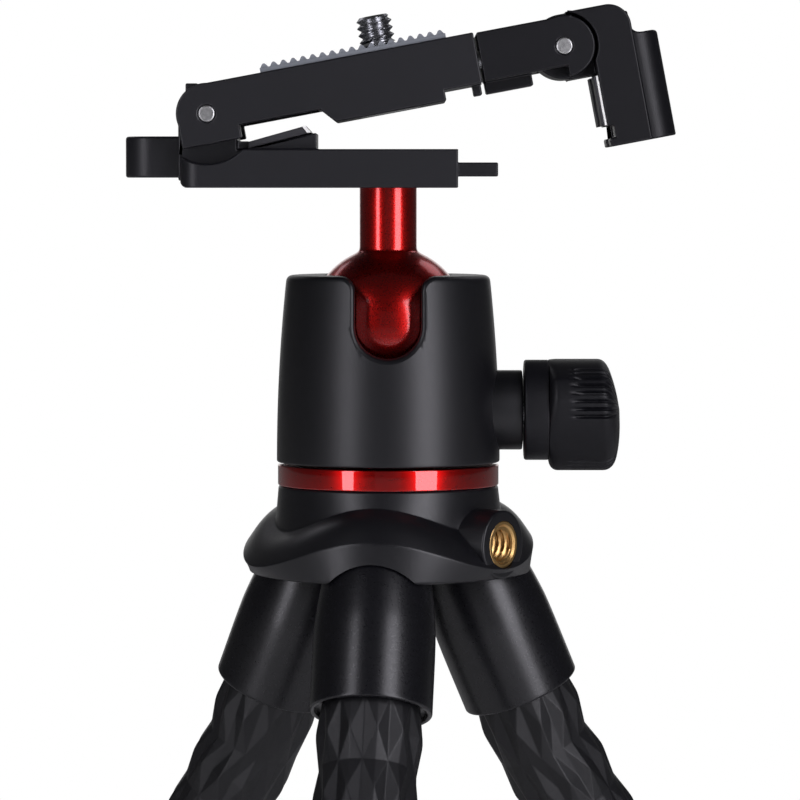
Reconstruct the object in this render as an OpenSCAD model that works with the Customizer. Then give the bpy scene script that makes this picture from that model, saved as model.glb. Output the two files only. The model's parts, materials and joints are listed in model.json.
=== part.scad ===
// Table-top tripod with three bendable legs, a ball head and a folding phone and camera clamp.
// Units are millimetres, +Z is up, the feet stand on z = 0 and -Y faces the viewer.

/* [Legs] */
// Turn of the front leg away from straight ahead
leg_turn = 6.5; // [-30:0.5:30]
// Lean of each leg cap from the vertical
leg_splay = 24; // [12:1:36]
// Outward bend held at the top of each leg
root_bend = 8; // [0:1:20]
// Outward bend held low on each leg
knee_bend = 2; // [0:1:20]
// Distance of a cap's top from the tripod's axis
root_r = 13.6; // [12.5:0.1:16]
// Length of a leg cap along its axis
cap_len = 31; // [26:0.5:40]
// Outer radius of a cap at its mouth
cap_r = 10.7; // [10.2:0.1:12]
// Outer radius of a cap at its top
cap_top_r = 7.6; // [6.5:0.1:8.5]
// Depth of the recess in a cap's mouth
mouth_depth = 1; // [0.75:0.25:2]
// Largest radius of the rubber skin at the cap
skin_r = 9.5; // [8:0.1:9.6]
// Largest radius of the rubber skin at the foot
skin_end_r = 8; // [6.5:0.1:9]
// Height of the pyramids on the skin
facet_depth = 0.9; // [0.3:0.05:1.2]
// Length of one pyramid along the leg
facet_pitch = 12; // [9:0.25:13]
// Pyramids around the skin
facet_count = 12; // [10:1:14]
// Half pyramids in each stiff length between two bends
stiff_rows = 6; // [5:1:10]
// Radius of the soft metal core in a leg
core_r = 2.5; // [2:0.1:3]
// Radius of the rubber foot
foot_r = 9; // [8.5:0.1:11]
// Straight part of the foot above its dome
foot_neck = 5; // [3:0.5:8]
// Height cut off the dome for the sole
sole_cut = 1.2; // [0.6:0.1:2]

/* [Crown] */
// Height of the crown moulding
crown_h = 15.8; // [14:0.1:20]
// Largest radius of the brim
brim_r = 26; // [25:0.1:28]
// Radius of the crown along its bottom edge
hem_r = 24.2; // [23:0.1:26]
// Rise and fall of the brim from leg to leg
brim_wave = 2.6; // [0.5:0.1:3]
// Height of a cap's top above the crown's bottom
root_rise = 6.1; // [5:0.1:8]
// Height of the accessory thread above the crown's bottom
insert_rise = 6.2; // [5.8:0.1:7.5]
// Outer radius of the brass thread insert
insert_r = 4.2; // [3.8:0.1:4.6]
// Radius of the accessory thread
insert_thread_r = 3.175; // [3:0.025:3.4]
// Length of the brass thread insert
insert_len = 9; // [7:0.5:9.5]

/* [Ball head] */
// Thickness of the red pan ring
ring_h = 3.7; // [3:0.1:5]
// Radius of the pan spindle
spindle_r = 8; // [7:0.1:9]
// Outer radius of the housing at its foot
housing_r = 19.9; // [19.5:0.1:21]
// Narrowing of the housing from its foot to its top
housing_taper = 1.8; // [0.8:0.1:2.1]
// Height of the housing
housing_h = 33.3; // [32.5:0.1:36]
// Thickness of the housing floor
floor_t = 4.5; // [4:0.1:5]
// Radius of the ball
ball_r = 14.2; // [13.5:0.1:14.4]
// Height of the ball's centre above the housing foot
ball_rise = 24.2; // [23.8:0.1:24.6]
// Radius of the stem
stem_r = 5.1; // [4.5:0.1:5.5]
// Height of the clamp base above the ball's centre
stem_h = 24.6; // [23:0.1:28]
// Half the width of the drop notch
notch_r = 6.5; // [6:0.1:7]
// Rounding where the notch meets the housing top
notch_flare = 2.6; // [1:0.1:3]
// Height of the lock knob's axis above the housing foot
knob_rise = 9.2; // [8.8:0.1:9.6]
// Radius of the housing's knob boss
boss_r = 7.1; // [6.5:0.1:7.5]
// Distance of the boss face from the pan axis
boss_end = 23.9; // [23:0.1:26]
// Radius of the knob's collar
collar_r = 8.95; // [8.5:0.05:9.5]
// Length of the knob's collar
collar_len = 4.4; // [3.5:0.1:6]
// Length of the knob's grip
grip_len = 13.7; // [12:0.1:16]
// Half height of the grip across a flat
grip_flat = 9; // [8.8:0.1:9.6]
// Radius of the grip over its three lobes
grip_r = 10.8; // [10:0.1:11.5]
// Radius of the threaded clamp stud
stud_r = 3; // [2.5:0.1:3.2]

/* [Clamp base] */
// Width of the clamp from front to back
clamp_w = 24; // [22:0.5:28]
// Thickness of the clamp base
base_h = 6.8; // [6.4:0.1:8]
// Left end of the clamp base from the stem
base_left = 36.6; // [36:0.1:37.2]
// Right end of the clamp base from the stem
base_right = 12.3; // [11:0.1:12.6]
// Distance of the arm's hinge from the stem
hinge_x = 31.8; // [31.4:0.1:32.2]
// Height of the arm's hinge above the base's bottom
hinge_h = 13; // [12.9:0.1:14]
// Radius of the two steel hinge pins
pin_r = 1.5; // [1.2:0.05:1.6]
// Length of the latch tongue
tongue_len = 7.2; // [5:0.1:7.4]
// Thickness of the latch tongue
tongue_t = 2.5; // [2:0.1:2.8]
// Width of the latch tongue and of the slider's lower rail
tongue_w = 8; // [6:0.5:9]
// Radius of the round lug that holds the level
lug_r = 4.9; // [4.6:0.1:5.2]
// Height of the round lug
lug_h = 7.3; // [6.5:0.1:8]

/* [Arm] */
// Tilt of the arm as it stands in the picture
arm_tilt = 10.7; // [6:0.1:12]
// Height of the arm's top face above the hinge
arm_top = 5.3; // [5:0.1:5.6]
// Radius of the rounded hinge ends
knuckle_r = 5.4; // [5.2:0.1:5.6]
// Depth of the arm's thin part below the hinge
thin_drop = 3; // [2.6:0.1:3.2]
// Depth of the arm's block below the hinge
block_drop = 5.6; // [5.2:0.1:5.7]
// Where the block starts along the arm
block_from = 22; // [21.6:0.1:23]
// Length of the arm body
arm_len = 48.5; // [48:0.1:48.8]
// Thickness of the two hinge cheeks
cheek_t = 4; // [3.5:0.1:4.5]
// Thickness of the ridged pad with its ridges
pad_t = 1.5; // [1.2:0.1:2]
// Ridges across the pad
pad_ridges = 19; // [12:1:24]
// Radius of the camera screw's thread
screw_r = 3.175; // [3:0.025:3.4]
// Height of the camera screw above the pad
screw_out = 5; // [4:0.1:6]

/* [Slider and claw] */
// Length of the slider up to the claw's hinge
slider_len = 14.8; // [14.5:0.1:15.5]
// Travel of the slider
slide_travel = 16; // [12:1:16]
// Radius of the two guide rods
rod_r = 1.5; // [1.2:0.1:1.6]
// Distance from the claw's hinge to its inner face
claw_in = 4.85; // [4.7:0.05:5.1]
// Thickness of the claw behind that face
claw_t = 7.35; // [7:0.05:8]
// Length of the claw below its hinge
claw_drop = 18.9; // [18.5:0.1:18.9]
// Height of the claw above its hinge
claw_rise = 5.8; // [5.4:0.1:6]
// Depth of the finger grip on the claw's back
claw_grip = 4.8; // [3.5:0.1:5.5]
// Thickness of the claw's rubber strips
strip_t = 0.9; // [0.6:0.05:0.95]

/* [Hidden] */
$fn = 64;
LEGS = ["front", "right", "left"];

// Clearances between pieces that move on each other, and between pieces that are only fitted
gap = 0.3;
run = 0.05;
fit = 0.1;
cut = 0.5;
far = 80;
leg_step = 120;

// Leg chain
row_h = facet_pitch / 2;
facet_cols = 2 * facet_count;
groove_dip = 0.2;
half_rows = [2, 1, 1];
bends = [root_bend, 0, knee_bend];
rows_all = 2 * (half_rows[0] + half_rows[1] + half_rows[2]) + 3 * stiff_rows;
bend_limit = 60;
core_back = core_r / cos(bend_limit / 2) + gap / 2;
first_pivot = cap_len - mouth_depth + half_rows[0] * row_h;
function span(k) = (half_rows[k - 1] + stiff_rows + half_rows[k]) * row_h;
end_span = (half_rows[2] + stiff_rows) * row_h;
function lean(k) = leg_splay + (k > 0 ? bends[0] : 0) + (k > 1 ? bends[1] : 0) + (k > 2 ? bends[2] : 0);
leg_drop = first_pivot * cos(lean(0)) + span(1) * cos(lean(1)) + span(2) * cos(lean(2))
    + (end_span + foot_neck) * cos(lean(3)) + foot_r - sole_cut;
root_z = leg_drop;
first_row = [0, 2 * half_rows[0] + stiff_rows, 2 * (half_rows[0] + half_rows[1] + stiff_rows)];
function first_stiff(k) = first_row[k] + 2 * half_rows[k];
function azimuth(i) = -90 - leg_turn + i * leg_step;
foot_bore = 4;
leg_thread_r = 2;
leg_thread_len = 7;
leg_head_r = 3.4;
leg_head_t = 2;
leg_head_up = 3.2;
cap_floor = 8;
cap_belly = 0.45;
cap_edge = 0.5;
cap_shoulder = 0.62;

// Crown
crown_z = root_z - root_rise;
crown_top = crown_z + crown_h;
crown_step = 0.3;
crown_top_r = housing_r - crown_step;
bolt_r = 3;
bolt_head_r = 5;
bolt_head_t = 4;
bolt_in_ring = 3.2;
insert_turn = azimuth(0) + leg_step / 2;
insert_boss_r = insert_rise - fit;
insert_set = 0.8;
insert_face = brim_r - insert_set;
crown_cols = 72;
neck_swell = 0.5;
flare_up = 0.66;
shoulder_up = 0.525;
shoulder_in = 2.6;
crease_up = 0.29;
neck_wave = 0.94;

// Ball head
play = 0.4;
ring_step = 0.2;
ring_r = housing_r - ring_step;
housing_top_r = housing_r - housing_taper;
housing_z = crown_top + ring_h + play;
housing_top = housing_z + housing_h;
spindle_top = housing_z + floor_t + fit;
ball_z = housing_z + ball_rise;
base_z = ball_z + stem_h;
socket_r = ball_r + gap;
seat_low = 11.5;
seat_high = 7.2;
ledge_r = 12.5;
side_arc = (housing_h * housing_h + pow(housing_r - housing_top_r, 2)) / (2 * (housing_r - housing_top_r));
rim_chamfer = 1;
shell_fn = 96;
arc_fn = 720;
retainer_r = 11;
retainer_t = 1.6;
retainer_shank = 4.6;
knob_z = housing_z + knob_rise;
plunger_in = 9.8;
plunger_out = 16;
stud_out = boss_end + gap + collar_len + grip_len / 2;
grip_round = 26;
lobe_shift = grip_flat;
stem_flare_r = 12.6;
spigot_r = 4;
spigot_h = 2.4;
base_screw_r = 2.5;
base_screw_head_r = 4.5;
base_screw_head_t = 2.6;
base_screw_in = 8;

// Clamp
hinge_z = base_z + hinge_h;
web_w = clamp_w - 2 * (cheek_t + gap);
web_r = 5.2;
swing_r = 8.9;
heel_x = 3.9;
heel_w = 2.2;
heel_h = 5.4;
lug_x = -base_left - lug_r - gap;
lug_low = 1.8;
vial_r = 3.7;
vial_h = 5;
rest_inset = 2.9;
rest_w = clamp_w - 2 * rest_inset;
rest_from = 24.6;
rest_to = 12.6;
rest_low = 8.1;
rest_high = 9.7;
rest_pad_t = 1.2;
tongue_low = 2;
corner_r = 2;

// Arm and slider
fork_u = 6.3;
wall_t = 2.2;
ceiling = 2.8;
thin_to = 19.7;
tail_drop = 3.7;
tail_len = 6.75;
block_to = arm_len - tail_len;
stub_back = 1.7;
stub_u = arm_len - stub_back;
stub_t = 1.5;
pad_from = 10.6;
pad_back = 4.8;
pad_to = arm_len - pad_back;
pad_base = 0.8;
ridge_shape = [[0.25, pad_t], [0.65, pad_t], [0.9, pad_base]];
pad_inset = 0.8;
pad_w = clamp_w - 2 * pad_inset;
neck_cut = 0.5;
neck_r = screw_r - neck_cut;
head_r = 5.6;
head_t = 2.6;
rod_y = 8.2;
rod_v = 0.4;
rod_head_r = 2.2;
rod_head_t = 1.5;
chamber_r = 2.5;
end_wall = 2.5;
chamber_end = arm_len - end_wall;
spring_shut = 7.7;
rod_from = chamber_end - slide_travel - spring_shut - rod_head_t;
spring_r = 2.02;
spring_wire = 0.22;
spring_turns = 9;
spring_steps = 10;
spring_sides = 5;
split_gap = 0.5;
slider_u = arm_len + split_gap;
claw_u = slider_u + slider_len;
slider_top = 5.15;
slider_drop = 3.5;
rail_drop = 5.65;
rail_len = 8.5;
rail_to = slider_u + rail_len;
rod_seat = 6;
tongue_r = 5.7;
claw_gap = 0.5;
knuckle_flat = 0.4;
detent_from = 15.2;
detent_to = 17.4;
detent_depth = 1.1;
rail_slot = 1.5;
grip_w = 13;
grip_up = 2.2;
strip_from = 6.2;
strip_to = 15;
slot_from = claw_drop - tongue_len - 2 * claw_gap;
latch_u = hinge_h - tongue_low;

// Skin pattern: rows of pyramids between grooves that run along and around the leg
function skin_at(g) = skin_r + (skin_end_r - skin_r) * g / rows_all;
function skin_point(j, g) = skin_at(g)
    - (g % 2 == 0 ? facet_depth : j % 2 == 0 ? facet_depth + groove_dip : 0);
function skin_ring(g) = [for (j = [0:facet_cols - 1])
    let (r = skin_point(j, g), a = j * 360 / facet_cols) [r * cos(a), r * sin(a), 0]];
function turned(p, a) = [p[0] * cos(a) - p[2] * sin(a), p[1], p[0] * sin(a) + p[2] * cos(a)];
function placed(ring, z, a) = [for (p = ring) turned([p[0], p[1], p[2] + z], a)];
function quad(i, j, g, n) =
    let (a = i * n + j, b = i * n + (j + 1) % n, c = b + n, d = a + n)
    (j + g) % 2 == 1 ? [[a, b, d], [b, c, d]] : [[a, b, c], [a, c, d]];
module skin_solid(rings, g, n) {
    last = len(rings) - 1;
    polyhedron(
        points = [for (r = rings) for (p = r) p],
        faces = concat([[for (j = [n - 1:-1:0]) j]], [[for (j = [0:n - 1]) last * n + j]],
            [for (i = [0:last - 1]) for (j = [0:n - 1]) for (f = quad(i, j, g + i, n)) f]));
}

// Placing along a leg: k is the stiff length, 0 for the cap
module on_leg(i, k) {
    rotate([0, 0, azimuth(i)]) translate([root_r, 0, root_z]) rotate([0, -leg_splay, 0]) {
        if (k == 0) children();
        else translate([0, 0, -first_pivot]) rotate([0, -bends[0], 0]) {
            if (k == 1) children();
            else translate([0, 0, -span(1)]) rotate([0, -bends[1], 0]) {
                if (k == 2) children();
                else translate([0, 0, -span(2)]) rotate([0, -bends[2], 0]) children();
            }
        }
    }
}
module at_arm() {
    translate([-hinge_x, 0, hinge_z]) rotate([0, -arm_tilt, 0]) children();
}
module at_claw() {
    at_arm() translate([claw_u, 0, 0]) children();
}
module across(w) {
    rotate([90, 0, 0]) linear_extrude(w, center = true) children();
}
module down(r, from, to) {
    translate([0, 0, -to]) cylinder(r = r, h = to - from);
}
module pair(y) {
    for (s = [-1, 1]) translate([0, s * y, 0]) children();
}

// Leg pieces
module cap_shape(grow) {
    mirror([0, 0, 1]) rotate_extrude() polygon([
        [0, 0], [cap_top_r + grow, 0],
        [cap_top_r + (cap_r - cap_top_r) * cap_shoulder + grow, cap_len * cap_belly / 2],
        [cap_r - cap_edge / 2 + grow, cap_len * cap_belly],
        [cap_r + grow, cap_len * cap_shoulder], [cap_r + grow, cap_len - cap_edge],
        [cap_r - cap_edge + grow, cap_len], [0, cap_len]]);
}
module cap(i) {
    color("#1b1b20") on_leg(i, 0) difference() {
        cap_shape(0);
        down(skin_r + gap, cap_len - mouth_depth, cap_len + cut);
        down(core_r, cap_floor, cap_len);
        down(leg_thread_r, -cut, cap_floor + cut);
    }
}
module bend(i, k) {
    h = half_rows[k] * row_h;
    n = half_rows[k];
    color("#232327") on_leg(i, k) translate([0, 0, -(k == 0 ? first_pivot : span(k))]) difference() {
        skin_solid([for (m = [-n:n]) m < 0 ? placed(skin_ring(first_row[k] + m + n), -m * row_h, 0)
                : m == 0 ? placed(skin_ring(first_row[k] + n), 0, bends[k] / 2)
                : placed(skin_ring(first_row[k] + m + n), -m * row_h, bends[k])],
            first_row[k], facet_cols);
        rotate([0, -bends[k] / 2, 0]) down(core_r + gap + h * sin(bends[k] / 2), -h - 2 * cut, h + 2 * cut);
    }
}
module skin(i, k) {
    top = half_rows[k] * row_h;
    color("#232327") on_leg(i, k + 1) difference() {
        translate([0, 0, -top]) skin_solid(
            [for (m = [0:stiff_rows]) placed(skin_ring(first_stiff(k) + m), -m * row_h, 0)],
            first_stiff(k), facet_cols);
        down(core_r, top - cut, top + stiff_rows * row_h + cut);
    }
}
module core(i, k) {
    end = k == 2 ? end_span + foot_bore - core_r : span(k + 1) - core_back;
    color("#b9bcc0") on_leg(i, k + 1) {
        down(core_r, core_back, end);
        translate([0, 0, -core_back]) sphere(core_r);
        translate([0, 0, -end]) sphere(core_r);
    }
}
module core_roots() {
    color("#b9bcc0") for (i = [0:2]) on_leg(i, 0) {
        down(core_r, cap_floor, first_pivot - core_back);
        translate([0, 0, -(first_pivot - core_back)]) sphere(core_r);
    }
}
module foot(i) {
    color("#202024") difference() {
        on_leg(i, 3) translate([0, 0, -end_span]) difference() {
            union() {
                down(foot_r, 0, foot_neck);
                translate([0, 0, -foot_neck]) sphere(foot_r);
            }
            down(foot_r + cut, -foot_r - cut, 0);
            down(core_r, -cut, foot_bore - core_r);
            translate([0, 0, core_r - foot_bore]) sphere(core_r);
        }
        translate([0, 0, -far]) cylinder(r = far * 2, h = far);
    }
}
module leg_screws() {
    color("#8a8d92") for (i = [0:2]) on_leg(i, 0) {
        down(leg_thread_r, -leg_head_up, leg_thread_len);
        down(leg_head_r, -leg_head_up - leg_head_t, -leg_head_up);
    }
}

// Crown: rings of points whose heights follow the legs
function wave(a) = cos(3 * (a - azimuth(0)));
function crown_ring(r, z, w) = [for (j = [0:crown_cols - 1]) let (a = j * 360 / crown_cols)
    [r * cos(a), r * sin(a), z + w * wave(a)]];
module crown_loft() {
    skin_solid([
        crown_ring(crown_top_r, crown_h, 0),
        crown_ring(crown_top_r + neck_swell, crown_h * flare_up, brim_wave * neck_wave),
        crown_ring(brim_r - shoulder_in, crown_h * shoulder_up, brim_wave),
        crown_ring(brim_r, crown_h * crease_up, brim_wave),
        crown_ring(hem_r, 0, 0)], 0, crown_cols);
}
module insert_axis() {
    translate([0, 0, crown_z + insert_rise]) rotate([0, 0, insert_turn]) rotate([0, 90, 0]) children();
}
module crown() {
    color("#1d1d22") difference() {
        union() {
            translate([0, 0, crown_z]) crown_loft();
            insert_axis() translate([0, 0, hem_r / 2])
                cylinder(r = insert_boss_r, h = insert_face - hem_r / 2);
        }
        for (i = [0:2]) on_leg(i, 0) {
            cap_shape(gap * 2);
            down(cap_r + gap * 2, cap_len * cap_belly, cap_len + far);
            down(leg_thread_r + fit, -leg_head_up - cut, cut);
            down(leg_head_r + fit, -far / 2, -leg_head_up);
        }
        translate([0, 0, crown_z - cut]) cylinder(r = bolt_head_r + fit, h = bolt_head_t + cut);
        translate([0, 0, crown_z]) cylinder(r = bolt_r + fit, h = crown_h + cut);
        insert_axis() translate([0, 0, insert_face - insert_len])
            cylinder(r = insert_r, h = insert_len + far);
    }
}
module thread_insert() {
    color("#b98a3e") insert_axis() translate([0, 0, insert_face - insert_len]) difference() {
        cylinder(r = insert_r, h = insert_len);
        translate([0, 0, -cut]) cylinder(r = insert_thread_r, h = insert_len + 2 * cut);
    }
}
module pan_bolt() {
    color("#8a8d92") translate([0, 0, crown_z]) {
        cylinder(r = bolt_head_r, h = bolt_head_t);
        cylinder(r = bolt_r, h = crown_h + bolt_in_ring);
    }
}

// Ball head pieces
module pan_ring() {
    color("#c1121f") difference() {
        union() {
            translate([0, 0, crown_top]) cylinder(r = ring_r, h = ring_h);
            translate([0, 0, crown_top]) cylinder(r = spindle_r, h = spindle_top - crown_top);
        }
        translate([0, 0, crown_top - cut]) cylinder(r = bolt_r, h = bolt_in_ring + cut);
        translate([0, 0, spindle_top - retainer_shank]) cylinder(r = bolt_r, h = retainer_shank + cut);
    }
}
module pan_retainer() {
    color("#8a8d92") {
        translate([0, 0, spindle_top]) cylinder(r = retainer_r, h = retainer_t);
        translate([0, 0, spindle_top - retainer_shank])
            cylinder(r = bolt_r, h = retainer_shank + retainer_t);
    }
}
module knob_axis(x) {
    translate([x, 0, knob_z]) rotate([0, 90, 0]) children();
}
module housing_outside() {
    rotate_extrude($fn = shell_fn) intersection() {
        translate([housing_r - side_arc, 0]) circle(side_arc, $fn = arc_fn);
        polygon([[0, 0], [housing_r - rim_chamfer / 2, 0], [housing_r, rim_chamfer / 2],
            [housing_r, housing_h - rim_chamfer - (housing_r - housing_top_r)],
            [housing_top_r - rim_chamfer, housing_h], [0, housing_h]]);
    }
}
module housing() {
    color("#1a1a1e") difference() {
        union() {
            translate([0, 0, housing_z]) housing_outside();
            knob_axis(0) cylinder(r = boss_r, h = boss_end);
        }
        translate([0, 0, ball_z]) sphere(socket_r);
        translate([0, 0, ball_z - seat_low]) cylinder(r = socket_r, h = seat_low);
        translate([0, 0, housing_z + floor_t]) cylinder(r = ledge_r, h = ball_z - housing_z - floor_t);
        translate([0, 0, housing_z - cut]) cylinder(r = spindle_r + run, h = floor_t + 2 * cut);
        translate([0, -far, ball_z]) rotate([-90, 0, 0]) cylinder(r = notch_r, h = far);
        translate([-notch_r, -far, ball_z]) cube([2 * notch_r, far, far]);
        translate([0, -far / 2, housing_top - notch_flare]) across(far) for (s = [-1, 1]) difference() {
            translate([s * notch_r - notch_flare, 0]) square([2 * notch_flare, notch_flare + cut]);
            translate([s * (notch_r + notch_flare), 0]) circle(notch_flare);
        }
        knob_axis(0) cylinder(r = stud_r + run, h = far);
    }
}
module ball_seat() {
    color("#d9d6cc") translate([0, 0, ball_z]) difference() {
        down(socket_r, seat_high, seat_low);
        sphere(socket_r);
    }
}
module plunger() {
    color("#b98a3e") {
        knob_axis(plunger_in) cylinder(r1 = stud_r / 2, r2 = stud_r, h = stud_r);
        knob_axis(plunger_in + stud_r) cylinder(r = stud_r, h = plunger_out - plunger_in - stud_r);
    }
}
module grip_lobes() {
    intersection_for (a = [0:2]) rotate([0, 0, a * leg_step]) translate([lobe_shift, 0, 0])
        cylinder(r = grip_flat + lobe_shift, h = grip_len);
}
module knob() {
    color("#1f1f24") difference() {
        union() {
            knob_axis(boss_end + gap) cylinder(r = collar_r, h = collar_len);
            knob_axis(boss_end + gap + collar_len) intersection() {
                grip_lobes();
                cylinder(r = grip_r, h = grip_len);
                translate([0, 0, grip_len - grip_round]) sphere(grip_round);
            }
        }
        knob_axis(boss_end) cylinder(r = stud_r, h = stud_out - boss_end);
    }
}
module clamp_stud() {
    color("#8a8d92") knob_axis(plunger_out + fit) cylinder(r = stud_r, h = stud_out - plunger_out - fit);
}
module ball_stem() {
    color("#c1121f") translate([0, 0, ball_z]) difference() {
        union() {
            sphere(ball_r);
            cylinder(r = stem_r, h = stem_h);
            cylinder(r1 = stem_flare_r, r2 = stem_r, h = ball_r + stem_r / 4);
            cylinder(r = spigot_r, h = stem_h + spigot_h);
        }
        translate([0, 0, stem_h + spigot_h - base_screw_in])
            cylinder(r = base_screw_r, h = base_screw_in + cut);
    }
}

// Clamp base: bar, hinge web, heel, phone rest, latch tongue and lug
module clamp_base() {
    color("#1c1c20") difference() {
        union() {
            translate([-base_left, -clamp_w / 2, base_z]) cube([base_left + base_right, clamp_w, base_h]);
            translate([-hinge_x, 0, hinge_z]) across(web_w) {
                circle(web_r);
                translate([-web_r, -hinge_h]) square([2 * web_r, hinge_h]);
                translate([-heel_x, 0]) square([heel_w, heel_h]);
            }
            across(rest_w) polygon([[-rest_from, base_z], [-rest_from, base_z + rest_low - rest_pad_t],
                [-rest_to, base_z + rest_high], [-rest_to, base_z]]);
            translate([base_right - corner_r, -tongue_w / 2, base_z + tongue_low])
                cube([tongue_len + corner_r, tongue_w, tongue_t]);
            translate([lug_x, 0, base_z + lug_low]) cylinder(r = lug_r, h = lug_h);
            translate([lug_x, -lug_r + corner_r / 2, base_z + lug_low])
                cube([-hinge_x - lug_x, 2 * lug_r - corner_r, lug_h - corner_r]);
        }
        pair((clamp_w - cheek_t - gap) / 2 + cut / 2) translate([-hinge_x, 0, hinge_z])
            across(cheek_t + gap + cut) circle(swing_r);
        translate([-hinge_x, 0, hinge_z]) across(web_w + cut) circle(pin_r);
        translate([lug_x, 0, base_z + lug_low + lug_h - vial_h]) cylinder(r = vial_r, h = vial_h + cut);
        translate([0, 0, base_z - cut]) cylinder(r = spigot_r + run, h = spigot_h + cut);
        translate([0, 0, base_z]) cylinder(r = base_screw_r + fit, h = base_h);
        translate([0, 0, base_z + base_h - base_screw_head_t])
            cylinder(r = base_screw_head_r + fit, h = far);
    }
}
module base_screw() {
    color("#8a8d92") translate([0, 0, base_z]) {
        translate([0, 0, base_h - base_screw_head_t]) cylinder(r = base_screw_head_r, h = base_screw_head_t);
        translate([0, 0, spigot_h - base_screw_in])
            cylinder(r = base_screw_r, h = base_h + base_screw_in - spigot_h);
    }
}
module rest_pad() {
    color("#3a3a3f") across(rest_w) polygon([
        [-rest_from, base_z + rest_low - rest_pad_t], [-rest_from, base_z + rest_low],
        [-rest_to - corner_r, base_z + rest_high + rest_pad_t],
        [-rest_to - corner_r / 2, base_z + rest_high]]);
}
module level_vial() {
    color("#b7d24a") translate([lug_x, 0, base_z + lug_low + lug_h - vial_h])
        cylinder(r = vial_r, h = vial_h - fit);
}
module arm_pin() {
    color("#c4c6ca") translate([-hinge_x, 0, hinge_z]) across(clamp_w) circle(pin_r);
}

// Arm pieces
module arm_outline() {
    circle(knuckle_r);
    translate([-knuckle_r + fit, -knuckle_r + fit]) square([2 * knuckle_r - 2 * fit, knuckle_r]);
    polygon([[0, -thin_drop], [thin_to, -thin_drop], [block_from, -block_drop], [block_to, -block_drop],
        [block_to, -tail_drop], [arm_len, -tail_drop], [arm_len, arm_top], [0, arm_top]]);
}
module arm_body() {
    color("#1b1b1f") at_arm() difference() {
        union() {
            across(clamp_w) arm_outline();
            translate([stub_u, -tongue_w / 2, -block_drop]) cube([stub_t, tongue_w, block_drop]);
        }
        translate([-far, -web_w / 2 - gap, -far]) cube([far + fork_u, web_w + 2 * gap, 2 * far]);
        translate([fork_u - cut, wall_t - clamp_w / 2, -far])
            cube([thin_to - fork_u, clamp_w - 2 * wall_t, far + ceiling]);
        across(clamp_w + cut) circle(pin_r + run);
        translate([hinge_x, 0, -far]) cylinder(r = screw_r + fit, h = 2 * far);
        translate([hinge_x, 0, -block_drop - cut]) cylinder(r = head_r + gap, h = head_t + cut + fit);
        pair(rod_y) translate([thin_to - 2 * cut, 0, rod_v]) rotate([0, 90, 0])
            cylinder(r = chamber_r, h = chamber_end - thin_to + 2 * cut);
        pair(rod_y) translate([chamber_end - cut, 0, rod_v]) rotate([0, 90, 0])
            cylinder(r = rod_r + run, h = far);
    }
}
module arm_pad() {
    step = (pad_to - pad_from) / pad_ridges;
    color("#8e9096") at_arm() difference() {
        across(pad_w) polygon(concat(
            [[pad_to, arm_top], [pad_from, arm_top], [pad_from, arm_top + pad_base]],
            [for (t = [0:pad_ridges - 1]) for (e = ridge_shape)
                [pad_from + (t + e[0]) * step, arm_top + e[1]]], [[pad_to, arm_top + pad_base]]));
        translate([hinge_x, 0, 0]) cylinder(r = screw_r + fit, h = far);
    }
}
module slider_springs() {
    spring_len = chamber_end - rod_from - rod_head_t - 2 * spring_wire - fit;
    count = spring_turns * spring_steps;
    rings = [for (i = [0:count]) let (a = i * 360 / spring_steps) [for (j = [0:spring_sides - 1])
        let (b = j * 360 / spring_sides, r = spring_r + spring_wire * cos(b))
        [r * cos(a), r * sin(a), spring_wire + (count - i) * spring_len / count + spring_wire * sin(b)]]];
    color("#8a8d92") at_arm() pair(rod_y) translate([rod_from + rod_head_t + fit / 2, 0, rod_v])
        rotate([0, 90, 0]) skin_solid(rings, 0, spring_sides);
}
module camera_screw() {
    color("#9a9ca0") at_arm() translate([hinge_x, 0, 0]) {
        translate([0, 0, -block_drop]) cylinder(r = head_r, h = head_t);
        translate([0, 0, -block_drop]) cylinder(r = neck_r, h = block_drop + arm_top + pad_t);
        translate([0, 0, arm_top + pad_t]) cylinder(r = screw_r, h = screw_out);
    }
}

// Slider and claw
module slider() {
    color("#1b1b1f") at_arm() difference() {
        union() {
            across(clamp_w) {
                translate([slider_u, -slider_drop]) square([claw_u - slider_u, slider_top + slider_drop]);
                difference() {
                    translate([claw_u, 0]) circle(knuckle_r);
                    translate([claw_u - far, -far]) square([far, far - slider_drop]);
                }
                translate([claw_u, 0]) square([knuckle_r * knuckle_flat, slider_top]);
            }
            translate([slider_u, -tongue_w / 2, -rail_drop]) cube([rail_to - slider_u, tongue_w, rail_drop]);
        }
        translate([claw_u, 0, 0]) across(web_w + 2 * gap) circle(tongue_r + claw_gap);
        translate([claw_u, -web_w / 2 - gap, -far]) cube([far, web_w + 2 * gap, 2 * far]);
        translate([claw_u, 0, 0]) across(clamp_w + cut) circle(pin_r);
        pair(rod_y) translate([slider_u - cut, 0, rod_v]) rotate([0, 90, 0])
            cylinder(r = rod_r, h = rod_seat + cut);
    }
}
module guide_rods() {
    color("#b9bcc0") at_arm() pair(rod_y) translate([rod_from, 0, rod_v]) rotate([0, 90, 0]) {
        cylinder(r = rod_head_r, h = rod_head_t);
        cylinder(r = rod_r, h = slider_u + rod_seat - rod_from);
    }
}
module claw_pin() {
    color("#c4c6ca") at_claw() across(clamp_w) circle(pin_r);
}
module claw_outline() {
    difference() {
        translate([0, -claw_drop]) square([claw_in + claw_t, claw_drop + claw_rise]);
        translate([-far + claw_in, -far]) square([far, far]);
        translate([claw_in - detent_depth, -detent_to]) square([2 * detent_depth, detent_to - detent_from]);
        translate([claw_in + claw_t - corner_r * 2, claw_rise - corner_r * 2]) difference() {
            square(corner_r * 3);
            circle(corner_r * 2);
        }
    }
}
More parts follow.
